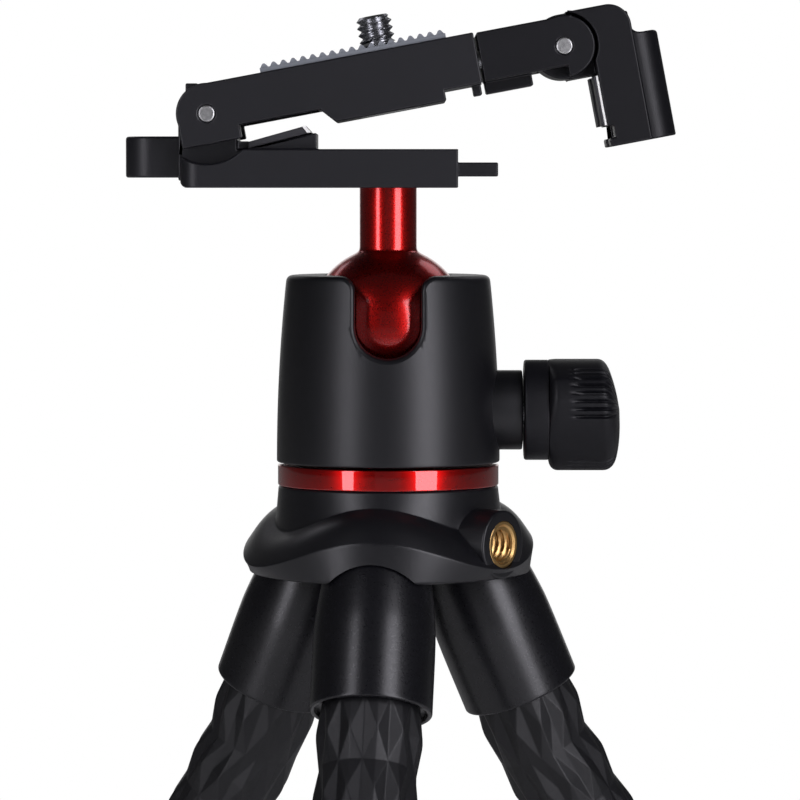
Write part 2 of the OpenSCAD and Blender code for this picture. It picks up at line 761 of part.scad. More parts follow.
module claw() {
    color("#1b1b1f") at_claw() difference() {
        union() {
            difference() {
                across(clamp_w) claw_outline();
                across(clamp_w + cut) circle(knuckle_r + claw_gap);
            }
            across(web_w) {
                circle(tongue_r);
                square([claw_in + cut, tongue_r]);
                translate([0, -knuckle_r - claw_gap]) square([claw_in + cut * 4, knuckle_r * 2]);
            }
            across(grip_w) translate([claw_in + claw_t, 0]) {
                translate([-cut, -claw_drop]) square([claw_grip + cut, claw_drop + grip_up]);
                translate([0, grip_up]) difference() {
                    translate([-cut, -cut]) square(corner_r + cut);
                    translate([corner_r, corner_r]) circle(corner_r);
                }
            }
        }
        across(clamp_w) circle(pin_r + run);
        translate([claw_in - cut, -tongue_w / 2 - gap, -claw_drop - cut])
            cube([rail_slot + cut, tongue_w + 2 * gap, claw_drop + cut - knuckle_r - claw_gap]);
        translate([latch_u - tongue_t - claw_gap, -tongue_w / 2 - gap, -claw_drop - cut])
            cube([tongue_t + 2 * claw_gap, tongue_w + 2 * gap, claw_drop + cut - slot_from]);
    }
}
module claw_pads() {
    strip_w = (clamp_w - tongue_w) / 2 - 2 * gap;
    color("#3a3a3f") at_claw() pair(tongue_w / 2 + gap + strip_w / 2)
        translate([claw_in - strip_t, -strip_w / 2, -strip_to])
            cube([strip_t, strip_w, strip_to - strip_from]);
}

crown();
thread_insert();
pan_ring();
pan_bolt();
leg_screws();
core_roots();
for (i = [0:2]) {
    cap(i);
    foot(i);
    for (k = [0:2]) {
        bend(i, k);
        skin(i, k);
        core(i, k);
    }
}
housing();
ball_seat();
plunger();
pan_retainer();
knob();
clamp_stud();
ball_stem();
clamp_base();
base_screw();
rest_pad();
level_vial();
arm_pin();
arm_body();
arm_pad();
slider_springs();
camera_screw();
slider();
guide_rods();
claw_pin();
claw();
claw_pads();
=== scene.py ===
"""Dress the bendable-leg tripod: moulded crown and caps, faceted legs, ball head and folding clamp."""

from __future__ import annotations

import json
import logging
import math
from collections.abc import Iterator, Sequence
from contextlib import contextmanager
from dataclasses import dataclass
from enum import Enum

import bmesh
import bpy
from mathutils import Matrix, Vector

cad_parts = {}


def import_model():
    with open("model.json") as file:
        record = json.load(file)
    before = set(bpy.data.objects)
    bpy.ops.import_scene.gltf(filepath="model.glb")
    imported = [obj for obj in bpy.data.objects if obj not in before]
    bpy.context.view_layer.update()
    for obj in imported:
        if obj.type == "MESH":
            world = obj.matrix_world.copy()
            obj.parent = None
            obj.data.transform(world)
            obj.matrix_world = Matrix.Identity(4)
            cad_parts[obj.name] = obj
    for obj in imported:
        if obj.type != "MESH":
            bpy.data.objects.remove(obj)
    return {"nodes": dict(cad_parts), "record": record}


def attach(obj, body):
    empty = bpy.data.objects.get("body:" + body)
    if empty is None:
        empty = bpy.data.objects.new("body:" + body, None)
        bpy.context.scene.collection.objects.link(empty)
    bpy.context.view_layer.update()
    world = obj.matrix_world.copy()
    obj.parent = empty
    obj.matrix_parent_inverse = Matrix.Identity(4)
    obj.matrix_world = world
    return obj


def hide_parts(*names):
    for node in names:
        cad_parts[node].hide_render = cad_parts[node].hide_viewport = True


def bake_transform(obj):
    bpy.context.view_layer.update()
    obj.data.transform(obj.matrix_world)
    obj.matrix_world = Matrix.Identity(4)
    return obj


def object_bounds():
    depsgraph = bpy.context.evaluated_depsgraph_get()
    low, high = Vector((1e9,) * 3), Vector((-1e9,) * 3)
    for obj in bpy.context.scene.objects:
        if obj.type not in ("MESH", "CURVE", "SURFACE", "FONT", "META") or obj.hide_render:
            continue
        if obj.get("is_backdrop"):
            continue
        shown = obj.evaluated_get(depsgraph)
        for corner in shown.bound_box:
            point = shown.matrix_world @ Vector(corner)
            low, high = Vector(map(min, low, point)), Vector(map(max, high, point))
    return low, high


LOG = logging.getLogger("tripod")
MM = 0.001
# Height of the legs' roots in the crown, and the way that the front leg points, in degrees.
ROOT_Z = 171.6346
FRONT = -96.5
# Points nearer than this, in metres, are one point; the second is for the seam of a rolled grid.
WELD = 2e-6
SEAM = 1e-6
# No ring of points is smaller than this, in millimetres, and faces that turn less than this, in degrees, are one.
PINHOLE = 0.02
FLAT = 0.4
# Refraction of the clear coats, and the colour of the lamps.
COAT_IOR = 1.6
LAMP_TINT = "#f8f6ff"

Profile = list[tuple[float, ...]]
Shape = tuple[list[Vector], list[tuple[int, ...]]]
Piece = bpy.types.Object
Socket = bpy.types.NodeSocket
Inputs = dict[int | str, object]


def linear(code: str) -> tuple[float, float, float, float]:
    """Turn an sRGB hex code into a linear colour.

    Args:
        code: the colour as #rrggbb.

    Returns:
        Red, green, blue and alpha for a colour socket.
    """
    parts = [int(code[i : i + 2], 16) / 255 for i in (1, 3, 5)]
    red, green, blue = (c / 12.92 if c <= 0.04045 else ((c + 0.055) / 1.055) ** 2.4 for c in parts)
    return red, green, blue, 1.0


def add_node(tree: bpy.types.NodeTree, kind: str, inputs: Inputs | None = None,
             **settings: object) -> bpy.types.Node:
    """Add a node with its settings, and link or set its inputs.

    Args:
        tree: the tree that takes the node.
        kind: the node's type name.
        inputs: socket name or number to a socket to link, or a value to set.
        settings: properties of the node.

    Returns:
        The new node.
    """
    node = tree.nodes.new(kind)
    for key, value in settings.items():
        setattr(node, key, value)
    for key, value in (inputs or {}).items():
        if isinstance(value, Socket):
            tree.links.new(value, node.inputs[key])
        else:
            node.inputs[key].default_value = value
    return node


def node_out(tree: bpy.types.NodeTree, kind: str, inputs: Inputs | None = None, out: int | str = 0,
             **settings: object) -> Socket:
    """Add a node as add_node does, and return one of its outputs."""
    return add_node(tree, kind, inputs, **settings).outputs[out]


def bare_tree(owner: bpy.types.Material | bpy.types.World) -> bpy.types.NodeTree:
    """Empty the node tree of a material or a world.

    Args:
        owner: the material or the world.

    Returns:
        Its tree.
    """
    owner.use_nodes = True
    owner.node_tree.nodes.clear()
    return owner.node_tree


class Marks(Enum):
    """What the making left on a surface."""

    GRAIN = "even grit of a mould, a blasted face or a coat"
    LINES = "fine lines of a turning tool or a brush"


@dataclass(frozen=True)
class Finish:
    """One real surface: its colour, its gloss and the marks that its making left."""

    name: str
    slot: str
    colour: str
    patch: str
    roughness: float
    swing: float = 0.08
    metallic: float = 0.0
    grit: float = 0.3
    relief: float = 0.02
    marks: Marks = Marks.GRAIN
    coat: float = 0.0
    coat_roughness: float = 0.2
    specular: float = 0.5
    patch_size: float = 7.0

    def material(self) -> bpy.types.Material:
        """Return this finish's material, made once."""
        return bpy.data.materials.get(self.name) or self.made()

    def made(self) -> bpy.types.Material:
        """Build the node tree of this finish.

        Returns:
            The new material.
        """
        material = bpy.data.materials.new(self.name)
        tree = bare_tree(material)
        place = node_out(tree, "ShaderNodeTexCoord", out="Object")
        if self.marks is Marks.LINES:
            place = node_out(tree, "ShaderNodeMapping", {"Vector": place, "Scale": (0.08, 1.0, 1.0)})
        fine = node_out(tree, "ShaderNodeTexNoise", {
            "Vector": place, "Scale": 1 / (self.grit * MM), "Detail": 3.0, "Roughness": 0.6})
        broad = node_out(tree, "ShaderNodeTexNoise", {
            "Vector": place, "Scale": 1 / (self.patch_size * MM), "Detail": 4.0, "Roughness": 0.55})
        blend = node_out(tree, "ShaderNodeMix", {
            0: broad, 6: linear(self.colour), 7: linear(self.patch)}, 2, data_type="RGBA")
        gloss = node_out(tree, "ShaderNodeMapRange", {
            "Value": fine, "From Min": 0.25, "From Max": 0.75,
            "To Min": max(0.03, self.roughness - self.swing), "To Max": self.roughness + self.swing})
        bump = node_out(tree, "ShaderNodeBump", {"Height": fine, "Strength": 0.5, "Distance": self.relief * MM})
        shader = node_out(tree, "ShaderNodeBsdfPrincipled", {
            "Base Color": blend, "Roughness": gloss, "Normal": bump,
            "Metallic": self.metallic, "Coat Weight": self.coat, "Coat Roughness": self.coat_roughness,
            "Coat IOR": COAT_IOR, "Specular IOR Level": self.specular})
        add_node(tree, "ShaderNodeOutputMaterial", {"Surface": shader})
        return material


# Injection-moulded ABS: smooth satin black that keeps soft streaks of the lamps.
MOULDED = Finish("moulded_abs_black", "moulded_black", "#0c0c10", "#101014", 0.36, 0.05, grit=0.4, relief=0.012)
# Leg caps from the same plastic out of a polished mould: tighter streaks.
CAP_SHELL = Finish("polished_abs_black", "moulded_black", "#0b0b0f", "#0f0f13", 0.30, 0.05, grit=0.4, relief=0.01)
# Soft thermoplastic rubber: dull, with a dry patchiness that lets the facets read by their tone.
SKIN = Finish("thermoplastic_rubber", "leg_skin", "#0a0a0d", "#0f0f13", 0.5, 0.07, grit=0.5, relief=0.02)
# Harder rubber of the feet: the flattest and greyest black.
FOOT_RUBBER = Finish("foot_rubber_compound", "foot_rubber", "#121215", "#18181b", 0.62, 0.08, grit=0.5, relief=0.03)
# Die casting under a fine satin coat: even grit, broad soft streaks.
COATED = Finish("coated_die_casting", "cast_black", "#0a0a0e", "#0e0e12", 0.40, 0.06, grit=0.22, relief=0.012)
# Milled aluminium, blasted and dyed black: flat, a little blue.
ANODISED = Finish("black_anodised_aluminium", "anodised_black", "#0b0b10", "#0f0f15", 0.44, 0.07, grit=0.25,
                  relief=0.014)
# Glass-filled nylon of the slider and the claw: darker and flatter than the metal beside it.
NYLON = Finish("glass_filled_nylon_black", "anodised_black", "#09090d", "#0d0d12", 0.42, 0.07, grit=0.3,
               relief=0.014, specular=0.33)
# Blasted aluminium dyed red: metal streaks broken by grit.
RED_BLASTED = Finish("red_blasted_aluminium", "anodised_red", "#b8100c", "#c21410", 0.30, 0.08, 1.0, grit=0.28,
                     relief=0.02, coat=0.8, coat_roughness=0.13)
# Turned aluminium dyed red and left bright: sharp lamp edges.
RED_BRIGHT = Finish("red_turned_aluminium", "anodised_red", "#b40908", "#be0c0a", 0.3, 0.04, 1.0, grit=0.5,
                    relief=0.003, marks=Marks.LINES, coat=1.0, coat_roughness=0.04)
# Rubber moulded over the knob: soft black with little shine.
KNOB_RUBBER = Finish("knob_rubber_compound", "knob_rubber", "#09090d", "#0d0d12", 0.46, 0.07, grit=0.35,
                     relief=0.02, specular=0.3)
# Silicone pad: mid grey, matt, slightly blue.
PAD_GREY = Finish("silicone_grey", "pad_grey", "#6d7177", "#7a7e84", 0.66, 0.08, grit=0.4, relief=0.03)
# The same silicone in charcoal: a matt grey beside the black metal.
PAD_DARK = Finish("silicone_dark", "pad_dark", "#232327", "#2a2a2e", 0.6, 0.08, grit=0.4, relief=0.03)
# Pale strip behind the rubber, a thin near-white line at its edge: a painted highlight standing for the glint along
# the pad's edge.
PAINTED_GLINT = Finish("pale_foam_tape", "pad_dark", "#f2f2ee", "#e6e6e2", 0.7, 0.08, grit=0.3, relief=0.03)
# Plated steel: cool bright metal with tool lines.
STEEL = Finish("plated_steel", "steel", "#a9aaad", "#bcbdc0", 0.27, 0.08, 1.0, grit=0.2, relief=0.01,
               marks=Marks.LINES)
# Ground ends of the hinge pins: bright metal, speckled.
PIN_STEEL = Finish("ground_pin_steel", "steel", "#e2e2e0", "#77787a", 0.4, 0.14, 1.0, grit=0.3, relief=0.03,
                   patch_size=0.8)
# Brass bar stock: warm yellow, bright on the crests.
BRASS = Finish("free_cutting_brass", "insert_brass", "#dcb67c", "#cfa566", 0.34, 0.07, 1.0, grit=0.25, relief=0.01)
# Soft drawn aluminium rod: pale and dull.
ROD = Finish("soft_drawn_aluminium", "core_metal", "#b9bcc0", "#a8abb0", 0.4, 0.08, 1.0, grit=0.3, relief=0.01,
             marks=Marks.LINES)
# Turned acetal: waxy off-white.
ACETAL = Finish("turned_acetal", "acetal", "#d8d4c6", "#cfcabb", 0.45, 0.06, grit=0.4, relief=0.01)
# Tinted fluid under the level's window: bright yellow-green behind a glassy shine.
FLUID = Finish("tinted_level_fluid", "vial_green", "#a9c62f", "#b6d03c", 0.08, 0.03, grit=1.5, relief=0.001,
               coat=1.0)


def turned(degrees: float, axis: str) -> Matrix:
    """Return a turn about an axis."""
    return Matrix.Rotation(math.radians(degrees), 4, axis)


def moved(x: float = 0.0, y: float = 0.0, z: float = 0.0) -> Matrix:
    """Return a shift in millimetres."""
    return Matrix.Translation((x, y, z))


def arc(radius: float, first: float, last: float, steps: int, x: float = 0.0, z: float = 0.0) -> Profile:
    """Return points on an arc about a centre, between two angles given in degrees."""
    turns = [math.radians(first + (last - first) * s / steps) for s in range(steps + 1)]
    return [(x + radius * math.cos(a), z + radius * math.sin(a)) for a in turns]


def circle(columns: int) -> list[float]:
    """Return the angles of points spread evenly round a circle."""
    return [2 * math.pi * j / columns for j in range(columns)]


def fillet(points: Profile, steps: int = 5) -> Profile:
    """Round the corners of a line of points.

    Args:
        points: coordinates, each followed by the set-back of that corner's rounding.
        steps: pieces in each rounded corner.

    Returns:
        The rounded line, without the set-backs.
    """
    spots = [(Vector(p[:-1]), p[-1]) for p in points]
    made = [tuple(spots[0][0])]
    for i in range(1, len(spots) - 1):
        spot, back = spots[i]
        if back <= 0:
            made.append(tuple(spot))
            continue
        into, away = spots[i - 1][0] - spot, spots[i + 1][0] - spot
        first = spot + into * min(0.5, back / into.length)
        last = spot + away * min(0.5, back / away.length)
        for s in range(steps + 1):
            t = s / steps
            made.append(tuple(first * (1 - t) ** 2 + spot * (2 * t * (1 - t)) + last * t**2))
    return [*made, tuple(spots[-1][0])]


def through(points: Profile, steps: int = 6) -> Profile:
    """Run a smooth line through points.

    Args:
        points: the points to meet.
        steps: pieces between two of them.

    Returns:
        The smooth line.
    """
    p = [Vector(q) for q in points]
    p = [p[0] * 2 - p[1], *p, p[-1] * 2 - p[-2]]
    made = []
    for i in range(1, len(p) - 2):
        for s in range(steps):
            t = s / steps
            made.append(tuple(0.5 * (2 * p[i] + (p[i + 1] - p[i - 1]) * t
                                     + (2 * p[i - 1] - 5 * p[i] + 4 * p[i + 1] - p[i + 2]) * t**2
                                     + (3 * p[i] - p[i - 1] - 3 * p[i + 1] + p[i + 2]) * t**3)))
    return [*made, tuple(p[-2])]


def loft(rings: list[list[Vector]], closed: bool = False) -> Shape:
    """Skin a row of rings that have the same number of points.

    Args:
        rings: the rings, in order.
        closed: join the last ring to the first instead of filling both ends.

    Returns:
        Points and faces.
    """
    n, last = len(rings[0]), len(rings) - 1
    points = [p for ring in rings for p in ring]
    faces: list[tuple[int, ...]] = []
    for i in range(last + (1 if closed else 0)):
        a, b = i * n, ((i + 1) % len(rings)) * n
        faces += [(a + j, a + (j + 1) % n, b + (j + 1) % n, b + j) for j in range(n)]
    if not closed:
        faces += [tuple(range(n - 1, -1, -1)), tuple(last * n + j for j in range(n))]
    return points, faces


def spin(profile: Profile, columns: int, closed: bool = False) -> Shape:
    """Turn a profile of radius and height about Z, with a pinhole where it meets the axis."""
    sized, turns = [(max(r, PINHOLE), z) for r, z in profile], circle(columns)
    return loft([[Vector((r * math.cos(a), r * math.sin(a), z)) for a in turns] for r, z in sized], closed)


def drum(radius: float, low: float, high: float, columns: int, edges: tuple[float, float] = (0, 0)) -> Shape:
    """Shape a round bar along Z, its lower and upper edges rounded by the set-backs given."""
    line = fillet([(0, low, 0), (radius, low, edges[0]), (radius, high, edges[1]), (0, high, 0)])
    return spin(line, columns)


def oblong(left: float, right: float, low: float, high: float) -> Profile:
    """Return the four corners of a rectangle in X and Z."""
    return [(left, low), (right, low), (right, high), (left, high)]


def prism(outline: Profile, low: float, high: float) -> Shape:
    """Stretch an outline in X and Z along Y, from low to high."""
    return loft([[Vector((x, y, z)) for x, z in outline] for y in (low, high)])


def corner(radius: float, low: float, high: float) -> Shape:
    """Shape a cutter that rounds the upright edge of a block that fills minus X and minus Y."""
    outline = [(-radius, 1.0), (1.0, 1.0), (1.0, -radius), *arc(radius, 0, 90, 12, -radius, -radius)]
    return loft([[Vector((x, y, z)) for x, y in outline] for z in (low, high)])


def linked(name: str, data: bpy.types.ID) -> Piece:
    """Make an object and link it to the scene.

    Args:
        name: the object's name.
        data: its mesh, curve, lamp or camera.

    Returns:
        The object.
    """
    piece = bpy.data.objects.new(name, data)
    bpy.context.scene.collection.objects.link(piece)
    return piece


def make(name: str, shape: Shape, finish: Finish, place: Matrix | None = None, crease: float = 35) -> Piece:
    """Make a mesh object from points in millimetres.

    Args:
        name: the piece's name.
        shape: points and faces.
        finish: what it is dressed in.
        place: where it goes, in millimetres.
        crease: edges that turn more than this many degrees stay sharp.

    Returns:
        The object, at the origin, in metres.
    """
    mesh = bpy.data.meshes.new(name)
    mesh.from_pydata([((place @ p) if place else p) * MM for p in shape[0]], [], shape[1])
    piece = linked(name, mesh)
    mend(piece, crease)
    mesh.materials.append(finish.material())
    return piece


@contextmanager
def editing(piece: Piece) -> Iterator[bmesh.types.BMesh]:
    """Open a piece's mesh for editing, and write it back afterwards.

    Args:
        piece: the mesh object.

    Returns:
        The mesh under edit, for a with block.
    """
    work = bmesh.new()
    work.from_mesh(piece.data)
    yield work
    work.to_mesh(piece.data)
    work.free()


def mend(piece: Piece, crease: float = 30) -> None:
    """Merge doubles, turn faces outward and set smooth shading with sharp edges.

    Args:
        piece: the mesh object.
        crease: edges that turn more than this many degrees stay sharp.
    """
    with editing(piece) as work:
        bmesh.ops.remove_doubles(work, verts=work.verts, dist=WELD)
        bmesh.ops.recalc_face_normals(work, faces=work.faces)
    piece.data.shade_smooth()
    piece.data.set_sharp_from_angle(angle=math.radians(crease))


def evaluated(piece: Piece) -> bpy.types.Mesh:
    """Return a plain mesh of an object with its modifiers done."""
    graph = bpy.context.evaluated_depsgraph_get()
    done = piece.evaluated_get(graph)
    return bpy.data.meshes.new_from_object(done, preserve_all_data_layers=True, depsgraph=graph)


def settle(piece: Piece) -> None:
    """Turn an object's modifiers into a plain mesh.

    Args:
        piece: the mesh object.
    """
    mesh = evaluated(piece)
    piece.modifiers.clear()
    piece.data = mesh


class Carve(Enum):
    """How one shape works on another."""

    CUT = "DIFFERENCE"
    ADD = "UNION"


Tool = tuple[Shape, Matrix, Carve]


def carve(piece: Piece, finish: Finish, tools: Sequence[Tool]) -> None:
    """Cut shapes out of a piece, or add them, in order.

    Args:
        piece: the mesh that stays.
        finish: what the new faces are dressed in.
        tools: each shape with its place and how it works.
    """
    for shape, place, how in tools:
        tool = make("tool", shape, finish, place)
        step = piece.modifiers.new("carve", "BOOLEAN")
        step.object, step.operation, step.solver = tool, how.value, "EXACT"
        settle(piece)
        bpy.data.objects.remove(tool)


def soften(piece: Piece, width: float, angle: float = 32, segments: int = 3) -> None:
    """Round a piece's sharp edges.

    Args:
        piece: the mesh object.
        width: width of the rounding in millimetres.
        angle: edges that turn more than this many degrees are rounded.
        segments: faces across the rounding.
    """
    edge = piece.modifiers.new("edges", "BEVEL")
    edge.width, edge.segments, edge.use_clamp_overlap = width * MM, segments, False
    edge.limit_method, edge.angle_limit = "ANGLE", math.radians(angle)
    piece.modifiers.new("even", "WEIGHTED_NORMAL").keep_sharp = True
    piece.data.shade_smooth()
    settle(piece)


def place_mesh(piece: Piece, place: Matrix) -> None:
    """Move a piece's mesh.

    Args:
        piece: the mesh object.
        place: where it goes, in millimetres.
    """
    turn = place.copy()
    turn.translation = place.translation * MM
    piece.data.transform(turn)


def fill_ends(piece: Piece, crease: float = 30) -> None:
    """Close the open ends of a mesh and mend it.

    Args:
        piece: the mesh object.
        crease: edges that turn more than this many degrees stay sharp.
    """
    with editing(piece) as work:
        bmesh.ops.holes_fill(work, edges=[e for e in work.edges if e.is_boundary])
    mend(piece, crease)


def bearing(point: bmesh.types.BMVert) -> float:
    """Return the way that a point lies from the Z axis, as an angle counted from just short of X."""
    return (math.atan2(point.co.y, point.co.x) + 0.01) % math.tau


def join(name: str, parts: list[Piece]) -> Piece:
    """Join meshes into the first of them and name it.

    Args:
        name: the whole's name.
        parts: the objects; all but the first are used up.

    Returns:
        The whole.
    """
    whole = parts[0]
    for part in parts[1:]:
        start = len(whole.data.materials)
        for material in part.data.materials:
            whole.data.materials.append(material)
        with editing(whole) as work:
            count = len(work.faces)
            work.from_mesh(part.data)
            work.faces.ensure_lookup_table()
            for face in work.faces[count:]:
                face.material_index += start
        bpy.data.objects.remove(part)
    whole.name = name
    return whole


class Recipe:
    """A geometry node tree with named inputs, grown into plain meshes."""

    def __init__(self, name: str, **inputs: tuple[str, ...]) -> None:
        """Start the tree.

        Args:
            name: the tree's name.
            inputs: the names of its inputs by kind of socket, such as Float.
        """
        self.tree = bpy.data.node_groups.new(name, "GeometryNodeTree")
        face = self.tree.interface
        face.new_socket("Geometry", in_out="INPUT", socket_type="NodeSocketGeometry")
        self.keys = {key: face.new_socket(key, in_out="INPUT", socket_type=f"NodeSocket{kind}").identifier
                     for kind, keys in {**inputs, "Material": ("Material",)}.items() for key in keys}
        face.new_socket("Geometry", in_out="OUTPUT", socket_type="NodeSocketGeometry")
        self.given = add_node(self.tree, "NodeGroupInput").outputs

    def step(self, kind: str, inputs: Inputs | None = None, out: int | str = 0, **settings: object) -> Socket:
        """Add a node to this tree as node_out does, and return one of its outputs."""
        return node_out(self.tree, kind, inputs, out, **settings)

    def math(self, operation: str, *values: Socket | float) -> Socket:
        """Return the result of a sum on numbers or sockets."""
        return self.step("ShaderNodeMath", dict(enumerate(values)), operation=operation)

    def vector(self, operation: str, *values: Socket | tuple) -> Socket:
        """Return the result of a sum on vectors."""
        return self.step("ShaderNodeVectorMath", dict(enumerate(values)), operation=operation)

    def scaled(self, vector: Socket, factor: Socket) -> Socket:
        """Return a vector times a number."""
        return self.step("ShaderNodeVectorMath", {0: vector, "Scale": factor}, operation="SCALE")

    def ramp(self, value: Socket, low: float, high: float, ends: tuple[Socket | float, Socket | float] = (0.0, 1.0),
             smooth: bool = False) -> Socket:
        """Map a value from one range to another.

        Args:
            value: the number to map.
            low: lower end of its range.
            high: upper end of its range.
            ends: what the two ends become, numbers or sockets.
            smooth: ease in and out.

        Returns:
            The mapped number.
        """
        return self.step("ShaderNodeMapRange", {
            "Value": value, "From Min": low, "From Max": high, "To Min": ends[0], "To Max": ends[1]},
            interpolation_type="SMOOTHSTEP" if smooth else "LINEAR")

    def parts(self, vector: Socket) -> bpy.types.bpy_prop_collection:
        """Return the X, Y and Z outputs of a vector."""
        return add_node(self.tree, "ShaderNodeSeparateXYZ", {0: vector}).outputs

    def sheet(self, columns: Socket, rows: Socket) -> tuple[Socket, Socket, Socket]:
        """Lay out a grid to roll up.

        Args:
            columns: faces around.
            rows: points along.

        Returns:
            The grid, and each point's share around and along, from 0 to 1.
        """
        across = self.math("ADD", columns, 1.0)
        grid = self.step("GeometryNodeMeshGrid", {
            "Size X": 1.0, "Size Y": 1.0, "Vertices X": across, "Vertices Y": rows})
        xyz = self.parts(self.step("GeometryNodeInputPosition"))
        return grid, self.math("ADD", xyz[0], 0.5), self.math("ADD", xyz[1], 0.5)

    def around(self, share: Socket, radius: Socket) -> tuple[Socket, Socket]:
        """Find the two offsets of a point on a circle.

        Args:
            share: its share of a full turn.
            radius: radius of the circle.

        Returns:
            The offsets along the circle's two axes.
        """
        angle = self.math("MULTIPLY", share, 2 * math.pi)
        return (self.math("MULTIPLY", self.math("COSINE", angle), radius),
                self.math("MULTIPLY", self.math("SINE", angle), radius))

    def rolled(self, grid: Socket, spot: Socket) -> Socket:
        """Return a grid with its points put in place and its seam sewn up."""
        put = self.step("GeometryNodeSetPosition", {"Geometry": grid, "Position": spot})
        return self.step("GeometryNodeMergeByDistance", {"Geometry": put, "Distance": SEAM})

    def end(self, shape: Socket) -> None:
        """Realize, dress and put out a shape.

        Args:
            shape: the geometry to put out.
        """
        real = self.step("GeometryNodeRealizeInstances", {"Geometry": shape})
        dressed = self.step("GeometryNodeSetMaterial", {"Geometry": real, "Material": self.given["Material"]})
        add_node(self.tree, "NodeGroupOutput", {"Geometry": dressed})

    def grow(self, name: str, finish: Finish, values: dict[str, object], host: Piece | None = None) -> Piece:
        """Run the tree and keep its result as a plain mesh.

        Args:
            name: the new piece's name.
            finish: what it is dressed in.
            values: the inputs' values, lengths in metres.
            host: an object whose geometry goes in; it is used up.

        Returns:
            The new object, at the origin.
        """
        if host is None:
            host = linked(f"{name}_host", bpy.data.meshes.new(f"{name}_host"))
        run = host.modifiers.new("recipe", "NODES")
        run.node_group = self.tree
        for key, value in {**values, "Material": finish.material()}.items():
            run[self.keys[key]] = value
        piece = linked(name, evaluated(host))
        bpy.data.objects.remove(host)
        return piece


class Frame:
    """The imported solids, and the ways a piece is put on them."""

    def __init__(self) -> None:
        """Load the solids and keep their box."""
        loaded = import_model()
        self.nodes: dict[str, Piece] = loaded["nodes"]
        self.body = {n: b for b, ns in loaded["record"]["behaviour"]["bodies"].items() for n in ns}
        self.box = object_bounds()
        self.dressed: set[str] = set()

    def put(self, piece: Piece, finish: Finish, *nodes: str) -> None:
        """Let a piece stand for solids and ride on the first one's body.

        Args:
            piece: the finished mesh object.
            finish: passed on to ride, which does not use it.
            nodes: the solids that it replaces.
        """
        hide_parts(*nodes)
        self.dressed.update(nodes)
        self.ride(piece, finish, self.body[nodes[0]])

    def ride(self, piece: Piece, finish: Finish, body: str) -> None:
        """Let a piece ride on a body.

        Args:
            piece: the finished mesh object.
            finish: not used.
            body: the body's name.
        """
        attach(piece, body)
        LOG.info("piece %s rides on %s", piece.name, body)

    def bend(self, piece: Piece, finish: Finish, nodes: tuple[str, ...], bodies: tuple[str, str],
             ends: tuple[Vector, Vector]) -> None:
        """Let a piece stand for soft solids, with its place baked into its mesh; the two bodies are only logged, and
        nothing makes it change shape between them.

        Args:
            piece: the finished mesh object.
            finish: not used.
            nodes: the solids that it replaces.
            bodies: the body at its start and the one at its end.
            ends: not used; where the change would start and end, in millimetres.
        """
        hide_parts(*nodes)
        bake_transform(piece)
        self.dressed.update(nodes)
        LOG.info("piece %s changes shape between %s and %s", piece.name, *bodies)

    def edged(self, node: str, finish: Finish, width: float, tools: Sequence[Tool] = (),
              more: Sequence[Piece] = (), split: bool = False) -> None:
        """Copy a solid, work it with tools, round its edges and let the copy stand for it.

        Args:
            node: the solid's name.
            finish: what the copy is dressed in.
            width: width of the rounding in millimetres.
            tools: shapes to cut or add, in order.
            more: finished shells that become part of the copy.
            split: cut faces that run around a pocket into convex ones.
        """
        solid = self.nodes[node].data
        shape = [v.co / MM for v in solid.vertices], [tuple(p.vertices) for p in solid.polygons]
        piece = make(f"{node}_edged", shape, finish)
        for tool in tools:
            carve(piece, finish, [tool])
            mend(piece)
        with editing(piece) as work:
            bmesh.ops.dissolve_limit(work, angle_limit=math.radians(FLAT), verts=work.verts, edges=work.edges)
            if split:
                bmesh.ops.connect_verts_concave(work, faces=work.faces)
        soften(piece, width)
        self.put(join(piece.name, [piece, *more]), finish, node)

    def keep(self, finish: Finish, *nodes: str) -> None:
        """Dress solids that stay as they are.

        Args:
            finish: what they are dressed in.
            nodes: their names.
        """
        for node in nodes:
            self.nodes[node].data.materials.clear()
            self.nodes[node].data.materials.append(finish.material())
            self.dressed.add(node)
            LOG.info("solid %s dressed in %s", node, finish.name)


